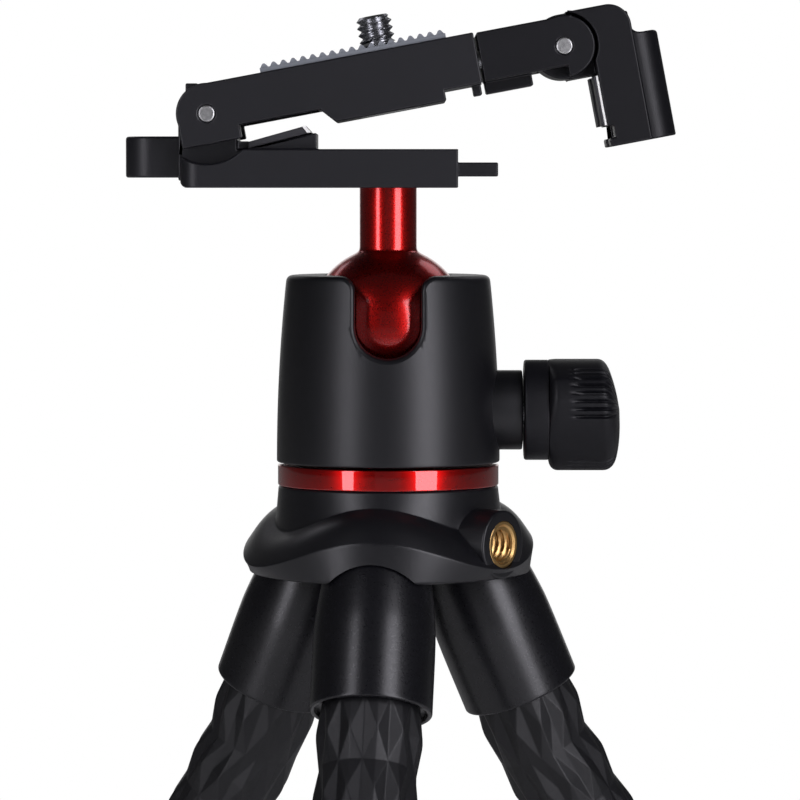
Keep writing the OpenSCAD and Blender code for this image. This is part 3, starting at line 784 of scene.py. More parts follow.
@dataclass
class Crown:
    """The scalloped moulding, its brass thread and the pan bolt under it."""

    frame: Frame
    thread: ThreadRecipe
    legs: list[Leg]
    low: float = ROOT_Z - 6.1
    height: float = 15.8
    top_r: float = 19.6
    neck_rise: float = 10.43
    neck_wave: float = 2.44
    shoulder_rise: float = 8.3
    brim_r: float = 26.0
    brim_rise: float = 4.58
    hem_r: float = 24.2
    hem_swell: float = 1.6
    wave: float = 2.6
    columns: int = 216
    socket_run: float = 40.0
    insert_turn: float = -36.5
    insert_rise: float = 6.2
    insert_face: float = 25.2
    insert_r: float = 4.2
    insert_len: float = 9.0
    boss_r: float = 6.1
    thread_r: float = 3.175
    bolt_head_r: float = 5.1
    bolt_head_t: float = 4.0

    def profile(self) -> Profile:
        """Return radius, height, rise over a leg and swell over a leg, from the top to the hem."""
        top, brim, hem, out = self.top_r, self.brim_r, self.hem_r, self.hem_swell
        return fillet([
            (top - 0.4, self.height, 0.0, 0.0, 0.0), (top, self.height - 0.3, 0.0, 0.0, 0.25),
            (top + 0.5, self.neck_rise, self.neck_wave, 0.0, 0.3),
            (brim - 2.6, self.shoulder_rise, self.wave, 0.0, 2.6),
            (brim - 0.03, self.brim_rise, self.wave, 0.0, 0.3),
            (hem, 0.25, 0.1, out, 0.3), (hem - 0.4, 0.0, 0.0, out, 0.0)])

    def insert_place(self) -> Matrix:
        """Return the place of the accessory thread, its axis along local Z."""
        return moved(z=self.low + self.insert_rise) @ turned(self.insert_turn, "Z") @ turned(90, "Y")

    def build(self) -> None:
        """Make the moulding with its sockets, and the brass insert."""
        turns = circle(self.columns)
        over = [math.cos(3 * (a - math.radians(FRONT))) for a in turns]
        rings = []
        for r, z, wave, swell in self.profile():
            reach = [r + swell * (1 + c) / 2 for c in over]
            rings.append([Vector((d * math.cos(a), d * math.sin(a), self.low + z + wave * c))
                          for d, a, c in zip(reach, turns, over)])
        crown = make("crown_moulding", loft(rings), MOULDED)
        axis, face, back = self.insert_place(), self.insert_face, self.insert_face - self.insert_len
        sockets = [(spin(leg.cap_profile(2 * leg.gap, self.socket_run), 96), leg.place(0), Carve.CUT)
                   for leg in self.legs]
        seat = drum(self.bolt_head_r, self.low - 2, self.low + self.bolt_head_t, 48)
        carve(crown, MOULDED, [
            (drum(self.boss_r, self.hem_r / 2, face, 64, (0, 0.5)), axis, Carve.ADD), *sockets,
            (drum(self.insert_r, back, face + 9, 64), axis, Carve.CUT), (seat, Matrix(), Carve.CUT)])
        mend(crown)
        self.frame.put(crown, MOULDED, "crown")
        insert = self.thread.nut("brass_insert", BRASS, self.thread_r, self.insert_r, self.insert_len)
        place_mesh(insert, axis @ moved(z=back))
        self.frame.put(insert, BRASS, "thread_insert")
        self.frame.keep(STEEL, "pan_bolt", "pan_retainer", "leg_screws")


class ThreadRecipe(Recipe):
    """A wall whose radius follows a screw thread."""

    pitch: float = 1.27
    depth: float = 0.62
    columns: int = 56
    row: float = 0.1
    lip: float = 0.35
    play: float = 0.02
    crease: float = 40

    def __init__(self) -> None:
        """Build the tree: a grid rolled up, its radius led by height and turn."""
        super().__init__("screw_thread", Int=("Columns", "Rows"),
                         Float=("Radius", "Depth", "Pitch", "Length", "Chamfer"))
        g = self.given
        grid, turn, up = self.sheet(g["Columns"], g["Rows"])
        rise = self.math("MULTIPLY", up, g["Length"])
        phase = self.math("SUBTRACT", self.math("DIVIDE", rise, g["Pitch"]), turn)
        groove = self.ramp(self.math("PINGPONG", phase, 0.5), 0.05, 0.44)
        core = self.math("SUBTRACT", g["Radius"], self.math("MULTIPLY", groove, g["Depth"]))
        left = self.math("SUBTRACT", g["Length"], rise)
        start = self.math("MAXIMUM", self.math("SUBTRACT", g["Chamfer"], left), 0.0)
        cone = self.math("SUBTRACT", g["Radius"], start)
        x, y = self.around(turn, self.math("MINIMUM", core, cone))
        self.end(self.rolled(grid, self.step("ShaderNodeCombineXYZ", {0: x, 1: y, 2: rise})))

    def wall(self, name: str, finish: Finish, radius: float, length: float, chamfer: float) -> Piece:
        """Grow one open threaded wall that stands on z = 0.

        Args:
            name: the piece's name.
            finish: what it is dressed in.
            radius: radius at the crests.
            length: height of the wall.
            chamfer: height of the cone at its top.

        Returns:
            The wall.
        """
        return self.grow(name, finish, {
            "Columns": self.columns, "Rows": int(length / self.row) + 1, "Radius": radius * MM,
            "Depth": self.depth * MM, "Pitch": self.pitch * MM, "Length": length * MM, "Chamfer": chamfer * MM})

    def nut(self, name: str, finish: Finish, bore: float, outer: float, length: float) -> Piece:
        """Make a threaded sleeve.

        Args:
            name: the piece's name.
            finish: what it is dressed in.
            bore: radius of the thread at its widest.
            outer: outer radius.
            length: length of the sleeve.

        Returns:
            The sleeve, standing on z = 0.
        """
        lip, rim, middle = self.lip, bore + self.play, (bore + self.play / 2) * MM
        wall = self.wall(name, finish, bore, length - lip, 0.0)
        mend(wall, self.crease)
        points, faces = spin([(rim, 0), (outer, 0), (outer, length - lip / 2), (outer - lip / 2, length),
                              (rim + lip, length), (rim, length - lip)], self.columns)
        whole = join(name, [wall, make("sleeve", (points, faces[:-2]), finish)])
        with editing(whole) as work:
            for upper in (False, True):
                rims = {v for e in work.edges if e.is_boundary for v in e.verts}
                ends = sorted((v for v in rims if (v.co.z > length / 2 * MM) == upper), key=bearing)
                near, far = ([v for v in ends if (v.co.xy.length > middle) == outside] for outside in (False, True))
                for i, point in enumerate(far):
                    kind = point.link_faces[0].material_index
                    work.faces.new((far[i - 1], point, near[i], near[i - 1])).material_index = kind
        mend(whole, self.crease)
        return whole


class SkinRecipe(Recipe):
    """Diamond facets wrapped round a path."""

    def __init__(self) -> None:
        """Build the tree: a grid rolled round the path, high and low by turns."""
        super().__init__("diamond_skin", Object=("Path",), Vector=("Side",), Int=("Columns", "First", "Rows"),
                         Float=("All Rows", "Row Height", "Top Radius", "End Radius", "Depth", "Dip"))
        g = self.given
        grid, turn, along = self.sheet(g["Columns"], self.math("ADD", g["Rows"], 1.0))
        column = self.math("ROUND", self.math("MULTIPLY", turn, g["Columns"]))
        row = self.math("ROUND", self.math("ADD", self.math("MULTIPLY", along, g["Rows"]), g["First"]))
        odd_column, odd_row = (self.math("FLOORED_MODULO", count, 2.0) for count in (column, row))
        share = self.math("DIVIDE", row, g["All Rows"])
        plain = self.ramp(share, 0.0, 1.0, (g["Top Radius"], g["End Radius"]))
        low = self.math("SUBTRACT", plain, g["Depth"])
        height = self.ramp(odd_column, 0.0, 1.0, (self.math("MULTIPLY", g["Dip"], -1.0), g["Depth"]))
        outward, sideways = self.around(turn, self.math("MULTIPLY_ADD", odd_row, height, low))
        path = self.step("GeometryNodeObjectInfo", {"Object": g["Path"]}, out="Geometry", transform_space="ORIGINAL")
        sample = add_node(self.tree, "GeometryNodeSampleCurve", {
            "Curves": path, "Length": self.math("MULTIPLY", row, g["Row Height"])}, mode="LENGTH",
            use_all_curves=True).outputs
        out = self.vector("CROSS_PRODUCT", g["Side"], sample["Tangent"])
        offset = self.vector("ADD", self.scaled(out, outward), self.scaled(g["Side"], sideways))
        sewn = self.rolled(grid, self.vector("ADD", sample["Position"], offset))
        self.end(self.step("GeometryNodeTriangulate", {"Mesh": sewn}, quad_method="LONGEST_DIAGONAL"))


@dataclass
class Leg:
    """One leg: its cap, its faceted skin in three bending lengths and its foot."""

    frame: Frame
    skin: SkinRecipe
    name: str
    azimuth: float
    splay: float = 24.0
    bends: tuple[float, float, float] = (8.0, 0.0, 2.0)
    root_r: float = 13.6
    root_z: float = ROOT_Z
    cap_len: float = 31.0
    cap_r: float = 10.7
    cap_top_r: float = 7.6
    cap_edge: float = 0.9
    cap_share: float = 0.62
    mouth: float = 1.0
    skin_r: float = 9.5
    skin_end_r: float = 8.0
    depth: float = 0.9
    dip: float = 0.2
    ridge: float = 0.22
    row: float = 6.0
    columns: int = 24
    stiff: int = 6
    half: tuple[int, int, int] = (2, 1, 1)
    root_zone: float = 14.0
    bend_zone: float = 12.0
    foot_r: float = 9.0
    foot_neck: float = 5.0
    gap: float = 0.3

    def rows(self) -> int:
        """Return the number of half diamonds down the leg."""
        return 2 * sum(self.half) + 3 * self.stiff

    def runs(self) -> list[float]:
        """Return the lengths from the root to each bend and on to the foot."""
        h, s = self.half, self.stiff
        return [self.cap_len - self.mouth + h[0] * self.row, (h[0] + s + h[1]) * self.row,
                (h[1] + s + h[2]) * self.row, (h[2] + s) * self.row]

    def place(self, k: int) -> Matrix:
        """Find the frame of one stiff length.

        Args:
            k: the number of bends above it, 0 for the cap.

        Returns:
            Its place in millimetres.
        """
        m = turned(self.azimuth, "Z") @ moved(self.root_r, z=self.root_z) @ turned(-self.splay, "Y")
        for run, angle in zip(self.runs()[:k], self.bends):
            m = m @ moved(z=-run) @ turned(-angle, "Y")
        return m

    def on_path(self, row: int) -> Vector:
        """Find a point of the leg's centre line.

        Args:
            row: the row of the skin that it belongs to.

        Returns:
            The point in millimetres.
        """
        left, k = (row - self.half[0]) * self.row, 1
        if left <= 0:
            return self.place(0) @ Vector((0, 0, -self.runs()[0] - left))
        while k < 3 and left > self.runs()[k]:
            left -= self.runs()[k]
            k += 1
        return self.place(k) @ Vector((0, 0, -left))

    def cap_profile(self, grow: float = 0.0, beyond: float = 0.0) -> Profile:
        """Return the cap's radius and height down from its top.

        Args:
            grow: how far the outside stands off.
            beyond: how far a socket runs on below the mouth, 0 for the cap itself.

        Returns:
            The profile, from the axis to the axis.
        """
        length, span = self.cap_len, self.cap_r - self.cap_top_r
        side = through([(self.cap_top_r, 0.0), (self.cap_top_r + span * self.cap_share, -length * 0.225),
                        (self.cap_r - 0.25, -length * 0.45), (self.cap_r, -length * self.cap_share),
                        (self.cap_r, -length + self.cap_edge)])
        side = [(0.0, grow), *((r + grow, z + (grow if z == 0 else 0)) for r, z in side)]
        if beyond:
            return [*side, (self.cap_r + grow, -length - beyond), (0.0, -length - beyond)]
        inner, mouth = self.skin_r + self.gap, self.mouth - length
        return [*side, *fillet([
            (self.cap_r, -length + self.cap_edge, 0), (self.cap_r, -length, 0.5), (inner, -length, 0.4),
            (inner, mouth, 0), (0.0, mouth, 0)])]

    def build(self) -> None:
        """Make the cap, the skin's three lengths and the foot."""
        cap = make(f"cap_shell_{self.name}", spin(self.cap_profile(), 128), CAP_SHELL, self.place(0), 30)
        self.frame.put(cap, CAP_SHELL, f"cap_{self.name}")
        self.skins()
        self.foot()
        self.frame.keep(ROD, *(f"core_{self.name}_{k}" for k in (1, 2, 3)))

    def path(self) -> Piece:
        """Draw the leg's centre line, a point for each row of the skin.

        Returns:
            The line.
        """
        line = bpy.data.curves.new(f"path_{self.name}", "CURVE")
        line.dimensions = "3D"
        run = line.splines.new("POLY")
        run.points.add(self.rows())
        for row in range(self.rows() + 1):
            run.points[row].co = (*(self.on_path(row) * MM), 1.0)
        return linked(line.name, line)

    def skins(self) -> None:
        """Wrap the skin round the leg's path, cut between its bends."""
        path, turn, half, stiff = self.path(), math.radians(self.azimuth), self.half, self.stiff
        cuts = [0, 2 * half[0] + stiff // 2, 2 * (half[0] + half[1]) + stiff + stiff // 2, self.rows()]
        bodies = ["crown", *(f"leg_{self.name}_{k}" for k in (1, 2, 3))]
        zones = [(half[0] * self.row - self.mouth, self.root_zone), *[(self.bend_zone, self.bend_zone)] * 2]
        for k, (before, after) in enumerate(zones):
            piece = self.skin.grow(f"skin_{self.name}_{'abc'[k]}", SKIN, {
                "Path": path, "Side": (-math.sin(turn), math.cos(turn), 0.0), "Columns": self.columns,
                "First": cuts[k], "Rows": cuts[k + 1] - cuts[k], "All Rows": float(self.rows()),
                "Row Height": self.row * MM, "Top Radius": self.skin_r * MM, "End Radius": self.skin_end_r * MM,
                "Depth": self.depth * MM, "Dip": self.dip * MM})
            fill_ends(piece, 60)
            soften(piece, self.ridge, 5, 2)
            ends = (self.place(k) @ Vector((0, 0, before - self.runs()[k])),
                    self.place(k + 1) @ Vector((0, 0, -after)))
            solids = f"bend_{self.name}_{k + 1}", f"skin_{self.name}_{k + 1}"
            self.frame.bend(piece, SKIN, solids, (bodies[k], bodies[k + 1]), ends)
        bpy.data.objects.remove(path)

    def foot(self) -> None:
        """Make the rounded rubber foot, cut flat at the ground."""
        r, neck = self.foot_r, -self.foot_neck
        profile = [*fillet([(0, 0, 0), (r, 0, 0.7), (r, neck, 0)]), *arc(r, 0, -90, 18, z=neck)]
        place = self.place(3) @ moved(z=-self.runs()[3])
        foot = make(f"foot_rubber_{self.name}", spin(profile, 96), FOOT_RUBBER, place)
        with editing(foot) as work:
            bmesh.ops.bisect_plane(work, geom=[*work.verts, *work.edges, *work.faces], plane_co=(0, 0, 0),
                                   plane_no=(0, 0, -1), clear_outer=True)
        fill_ends(foot)
        soften(foot, 0.4, 30)
        self.frame.put(foot, FOOT_RUBBER, f"foot_{self.name}")


class GrooveRecipe(Recipe):
    """Fine grooves along a round grip, in groups on its lobes."""

    lead_in: float = 3.0
    run_out: float = 1.2

    def __init__(self) -> None:
        """Build the tree: points are pulled towards the axis where a groove runs."""
        super().__init__("grip_grooves", Vector=("Centre",),
                         Float=("Lobe", "Lobe Step", "Pitch", "Spread", "Start", "End", "Depth"))
        g = self.given
        xyz = self.parts(self.vector("SUBTRACT", self.step("GeometryNodeInputPosition"), g["Centre"]))
        angle = self.math("ARCTAN2", self.math("MULTIPLY", xyz[1], -1.0), xyz[2])
        half = self.math("MULTIPLY", g["Lobe Step"], 0.5)
        local = self.math("WRAP", self.math("SUBTRACT", angle, g["Lobe"]), half, self.math("MULTIPLY", half, -1.0))
        count = self.math("FRACT", self.math("DIVIDE", local, g["Pitch"]))
        away = self.math("ABSOLUTE", self.math("SUBTRACT", count, 0.5))
        inside = self.math("LESS_THAN", self.math("ABSOLUTE", local), g["Spread"])
        lead, tail = self.math("SUBTRACT", xyz[0], g["Start"]), self.math("SUBTRACT", g["End"], xyz[0])
        rise = self.ramp(lead, 0.0, self.lead_in * MM, smooth=True)
        fall = self.ramp(tail, 0.0, self.run_out * MM, smooth=True)
        pull = self.ramp(away, 0.08, 0.3, (1.0, 0.0), smooth=True)
        for share in (inside, rise, fall, g["Depth"]):
            pull = self.math("MULTIPLY", pull, share)
        flat = self.step("ShaderNodeCombineXYZ", {1: xyz[1], 2: xyz[2]})
        inward = self.vector("MULTIPLY", self.vector("NORMALIZE", flat), (-1.0, -1.0, -1.0))
        self.end(self.step("GeometryNodeSetPosition", {
            "Geometry": g["Geometry"], "Offset": self.scaled(inward, pull)}))


@dataclass
class BallHead:
    """Pan ring, notched housing, ball with its stem, and the lock knob."""

    frame: Frame
    grooves: GrooveRecipe
    ring_low: float = ROOT_Z + 9.7
    ring_h: float = 3.7
    ring_r: float = 19.7
    ring_edge: float = 0.25
    spindle_r: float = 8.0
    spindle_h: float = 4.9
    low: float = ROOT_Z + 13.8
    height: float = 33.3
    foot_r: float = 19.9
    taper: float = 1.8
    bush_r: float = 8.05
    bush_h: float = 4.5
    well_r: float = 12.5
    well_h: float = 12.7
    ball_rise: float = 24.2
    ball_r: float = 14.2
    socket_r: float = 14.5
    stem_r: float = 5.1
    stem_h: float = 24.6
    stem_flare: float = 0.9
    spigot_r: float = 4.0
    spigot_h: float = 2.4
    notch_r: float = 5.8
    notch_flare: float = 2.6
    notch_lift: float = 0.5
    notch_edge: float = 1.1
    knob_rise: float = 9.2
    boss_r: float = 7.1
    boss_from: float = 15.5
    boss_end: float = 23.9
    stud_r: float = 3.05
    collar_r: float = 8.95
    collar_len: float = 4.4
    grip_len: float = 13.7
    grip_flat: float = 9.0
    grip_r: float = 10.8
    grip_turn: float = 7.0
    grip_slant: float = 2.0
    grip_lead: float = 1.6
    lobe_step: float = 120.0
    lobe_soft: float = 0.2
    tip_share: float = 0.002
    row: float = 0.4
    grip_columns: int = 432
    groove_pitch: float = 7.75
    groove_spread: float = 31.0
    groove_depth: float = 0.75
    groove_start: float = 3.2
    groove_end: float = 1.2
    gap: float = 0.3

    def build(self) -> None:
        """Make the head's pieces in order."""
        self.ring()
        self.housing()
        self.ball()
        self.knob()
        self.frame.keep(ACETAL, "ball_seat")
        self.frame.keep(BRASS, "plunger")
        self.frame.keep(STEEL, "clamp_stud", "base_screw")

    def ring(self) -> None:
        """Turn the red ring with its spindle."""
        low, high, edge = self.ring_low, self.ring_low + self.ring_h, self.ring_edge
        tip = high + self.spindle_h
        profile = fillet([(0, low, 0), (self.ring_r, low, edge), (self.ring_r, high, edge),
                          (self.spindle_r, high, 0), (self.spindle_r, tip, 0), (0, tip, 0)])
        self.frame.put(make("red_ring", spin(profile, 160), RED_BRIGHT), RED_BRIGHT, "pan_ring")

    def side(self, z: float) -> float:
        """Return the housing's radius at a height above its foot."""
        bow = (self.height**2 + self.taper**2) / (2 * self.taper)
        return self.foot_r - bow + math.sqrt(bow**2 - z**2)

    def housing(self) -> None:
        """Make the cup, cut its notch and add the knob's boss."""
        top, zc, socket = self.height, self.ball_rise, self.socket_r
        wall = [(self.side(z), z) for z in (1.0 + 1.5 * s for s in range(21))]
        bowl = arc(socket, math.degrees(0.6), 0, 6, z=zc)
        rim_r = math.sqrt(socket**2 - (top - zc) ** 2)
        foot = fillet([(self.bush_r, 0, 0), (self.foot_r, 0, 0.4), (*wall[0], 0)])
        rim = fillet([(*wall[-1], 0), (self.side(top), top, 1.3), (rim_r, top, 0.5), (*bowl[0], 0)], 6)
        inner = [(socket, self.well_h), (self.well_r, self.well_h), (self.well_r, self.bush_h),
                 (self.bush_r, self.bush_h)]
        outline = [(self.bush_r, 0.0), *foot[1:], *wall[1:], *rim[1:], *bowl[1:], *inner]
        cup = make("housing_cup", spin([(r, self.low + z) for r, z in outline], 192, closed=True), COATED)
        boss, axis = drum(self.boss_r, self.boss_from, self.boss_end, 96, (0, 0.35)), self.knob_place()
        carve(cup, COATED, [
            (loft(self.notch()), Matrix(), Carve.CUT), (boss, axis, Carve.ADD),
            (drum(self.stud_r, 8.0, 40.0, 48), axis, Carve.CUT)])
        mend(cup)
        self.frame.put(cup, COATED, "housing")

    def notch(self) -> list[list[Vector]]:
        """Draw the notch's cutter, which leaves a rounded edge on the housing's outside.

        Returns:
            Its rings, from the outside to the pan axis.
        """
        zc, top = self.low + self.ball_rise + self.notch_lift, self.low + self.height
        flare, edge = self.notch_flare, self.notch_edge
        depths = [-4.0 * edge, *(edge * s for s in (0.04, 0.14, 0.3, 0.5, 0.75, 1.0))]
        offs = [6.5 * edge, *(edge - math.sqrt(edge**2 - (edge - d) ** 2) for d in depths[1:])]
        rings = []
        for depth, off in zip(depths, offs):
            w, turn = self.notch_r + off, flare - min(off, flare - 0.2)
            right = arc(turn, 180, 90, 9, self.notch_r + flare, top - flare)
            side = max(right[-1][0], w)
            line = [*arc(w, -180, 0, 30, z=zc), *right, (side, top + 6), (-side, top + 6),
                    *((-x, z) for x, z in reversed(right))]
            ring = []
            for x, z in line:
                r = self.side(min(max(z - self.low, 0.0), self.height))
                ring.append(Vector((x, depth - math.sqrt(max(r**2 - x**2, 1.0)), z)))
            rings.append(ring)
        return [*rings, [Vector((p.x, 0.0, p.z)) for p in rings[-1]]]

    def knob_place(self) -> Matrix:
        """Return the place of the knob's axis, along local Z from the pan axis."""
        return moved(z=self.low + self.knob_rise) @ turned(90, "Y")

    def ball(self) -> None:
        """Turn the ball and its stem in one piece."""
        zc, r = self.low + self.ball_rise, self.ball_r
        meet, top = math.acos((self.stem_r + self.stem_flare) / r), zc + self.stem_h
        ball = arc(r, -90, math.degrees(meet), 40, z=zc)
        neck = fillet([(*ball[-1], 0), (self.stem_r, zc + r * math.sin(meet) + 0.55, 0.8), (self.stem_r, top, 0)])
        tip = [(self.spigot_r, top), (self.spigot_r, top + self.spigot_h), (0, top + self.spigot_h)]
        piece = make("ball_and_stem", spin([*ball, *neck[1:], *tip], 128), RED_BLASTED)
        self.frame.put(piece, RED_BLASTED, "ball_stem")

    def grip_radius(self, turn: float) -> float:
        """Find the grip's radius, round on three lobes and flatter between them.

        Args:
            turn: the angle from the top towards the front.

        Returns:
            The radius in millimetres.
        """
        step, f, soft = math.radians(self.lobe_step), self.grip_flat, self.lobe_soft
        off = (turn - math.radians(self.grip_turn) + step / 2) % step - step / 2
        flat = -f * math.cos(off) + math.sqrt((f * math.cos(off)) ** 2 + 3 * f**2)
        near = max(soft - abs(flat - self.grip_r), 0.0) / soft
        return min(flat, self.grip_r) - near**2 * soft * 0.25

    def grip_line(self, first: float, last: float) -> Profile:
        """Draw the grip's side, finely enough for the grooves.

        Args:
            first: where the grip starts along the knob's axis.
            last: where it ends.

        Returns:
            Share of the radius, share of the swell and distance along the axis.
        """
        lead, tip = self.grip_lead, self.tip_share
        swell = [(1.0, rise, first + lead * (1 - fall)) for fall, rise in arc(1.0, 0, 90, 8)]
        end = fillet([(1.0, 1.0, first + lead, 0), (1.0, 1.0, last - 2.1, 1.9), (0.55, 1.0, last - 0.55, 3.0),
                      (tip, 1.0, last, 0)], 8)
        line = [(tip, 0.0, first), *swell, *end[1:]]
        dense: Profile = []
        for a, b in zip(line, line[1:]):
            steps = max(1, int(abs(b[2] - a[2]) / self.row))
            dense += [tuple(p + (q - p) * s / steps for p, q in zip(a, b)) for s in range(steps)]
        return [*dense, line[-1]]

    def knob(self) -> None:
        """Make the collar and the lobed grip with its grooves."""
        start, zc, turns = self.boss_end + self.gap, self.low + self.knob_rise, circle(self.grip_columns)
        first, last = start + self.collar_len, start + self.collar_len + self.grip_len
        ring = make("collar", drum(self.collar_r, start, first, 96, (0.5, 0.3)), KNOB_RUBBER, self.knob_place())
        spans = [(min(self.collar_r, r), r) for r in map(self.grip_radius, turns)]
        rings = []
        for share, rise, x in self.grip_line(first, last):
            slant = self.grip_slant * ((x - first) / self.grip_len) ** 2
            reach = [share * (foot + (full - foot) * rise) for foot, full in spans]
            rings.append([Vector((x - slant * (1 + share * math.cos(t)) / 2, -r * math.sin(t), zc + r * math.cos(t)))
                          for r, t in zip(reach, turns)])
        blank = make("grip_blank", loft(rings), KNOB_RUBBER)
        grip = self.grooves.grow("grip", KNOB_RUBBER, {
            "Centre": (0.0, 0.0, zc * MM), "Lobe": math.radians(self.grip_turn + self.lobe_step / 2),
            "Lobe Step": math.radians(self.lobe_step), "Pitch": math.radians(self.groove_pitch),
            "Spread": math.radians(self.groove_spread), "Start": (first + self.groove_start) * MM,
            "End": (last - self.groove_end) * MM, "Depth": self.groove_depth * MM}, host=blank)
        mend(grip, 50)
        self.frame.put(join("lock_knob", [grip, ring]), KNOB_RUBBER, "knob")


class RidgeRecipe(Recipe):
    """Ridges across a pad, with a hole for the screw."""

    def __init__(self) -> None:
        """Build the tree: one ridge repeated along a line, then the hole cut."""
        super().__init__("pad_ridges", Int=("Count",), Vector=("Start", "Step", "Hole"), Float=("Radius",))
        g = self.given
        line = self.step("GeometryNodeMeshLine", {
            "Count": g["Count"], "Start Location": g["Start"], "Offset": g["Step"]}, mode="OFFSET")
        bars = self.step("GeometryNodeInstanceOnPoints", {"Points": line, "Instance": g["Geometry"]})
        real = self.step("GeometryNodeRealizeInstances", {"Geometry": bars})
        drill = self.step("GeometryNodeMeshCylinder", {"Vertices": 64, "Radius": g["Radius"], "Depth": 0.02})
        there = self.step("GeometryNodeTransform", {"Geometry": drill, "Translation": g["Hole"]})
        self.end(self.step("GeometryNodeMeshBoolean", {"Mesh 1": real, "Mesh 2": there}, operation="DIFFERENCE",
                           solver="EXACT"))


class CoilRecipe(Recipe):
    """A coil spring along Z."""

    def __init__(self) -> None:
        """Build the tree: a round wire along a spiral."""
        super().__init__("coil_spring", Float=("Turns", "Radius", "Wire", "Length"))
        g = self.given
        spiral = self.step("GeometryNodeCurveSpiral", {
            "Resolution": 28, "Rotations": g["Turns"], "Start Radius": g["Radius"], "End Radius": g["Radius"],
            "Height": g["Length"]})
        wire = self.step("GeometryNodeCurvePrimitiveCircle", {"Resolution": 8, "Radius": g["Wire"]})
        self.end(self.step("GeometryNodeCurveToMesh", {
            "Curve": spiral, "Profile Curve": wire, "Fill Caps": True}))


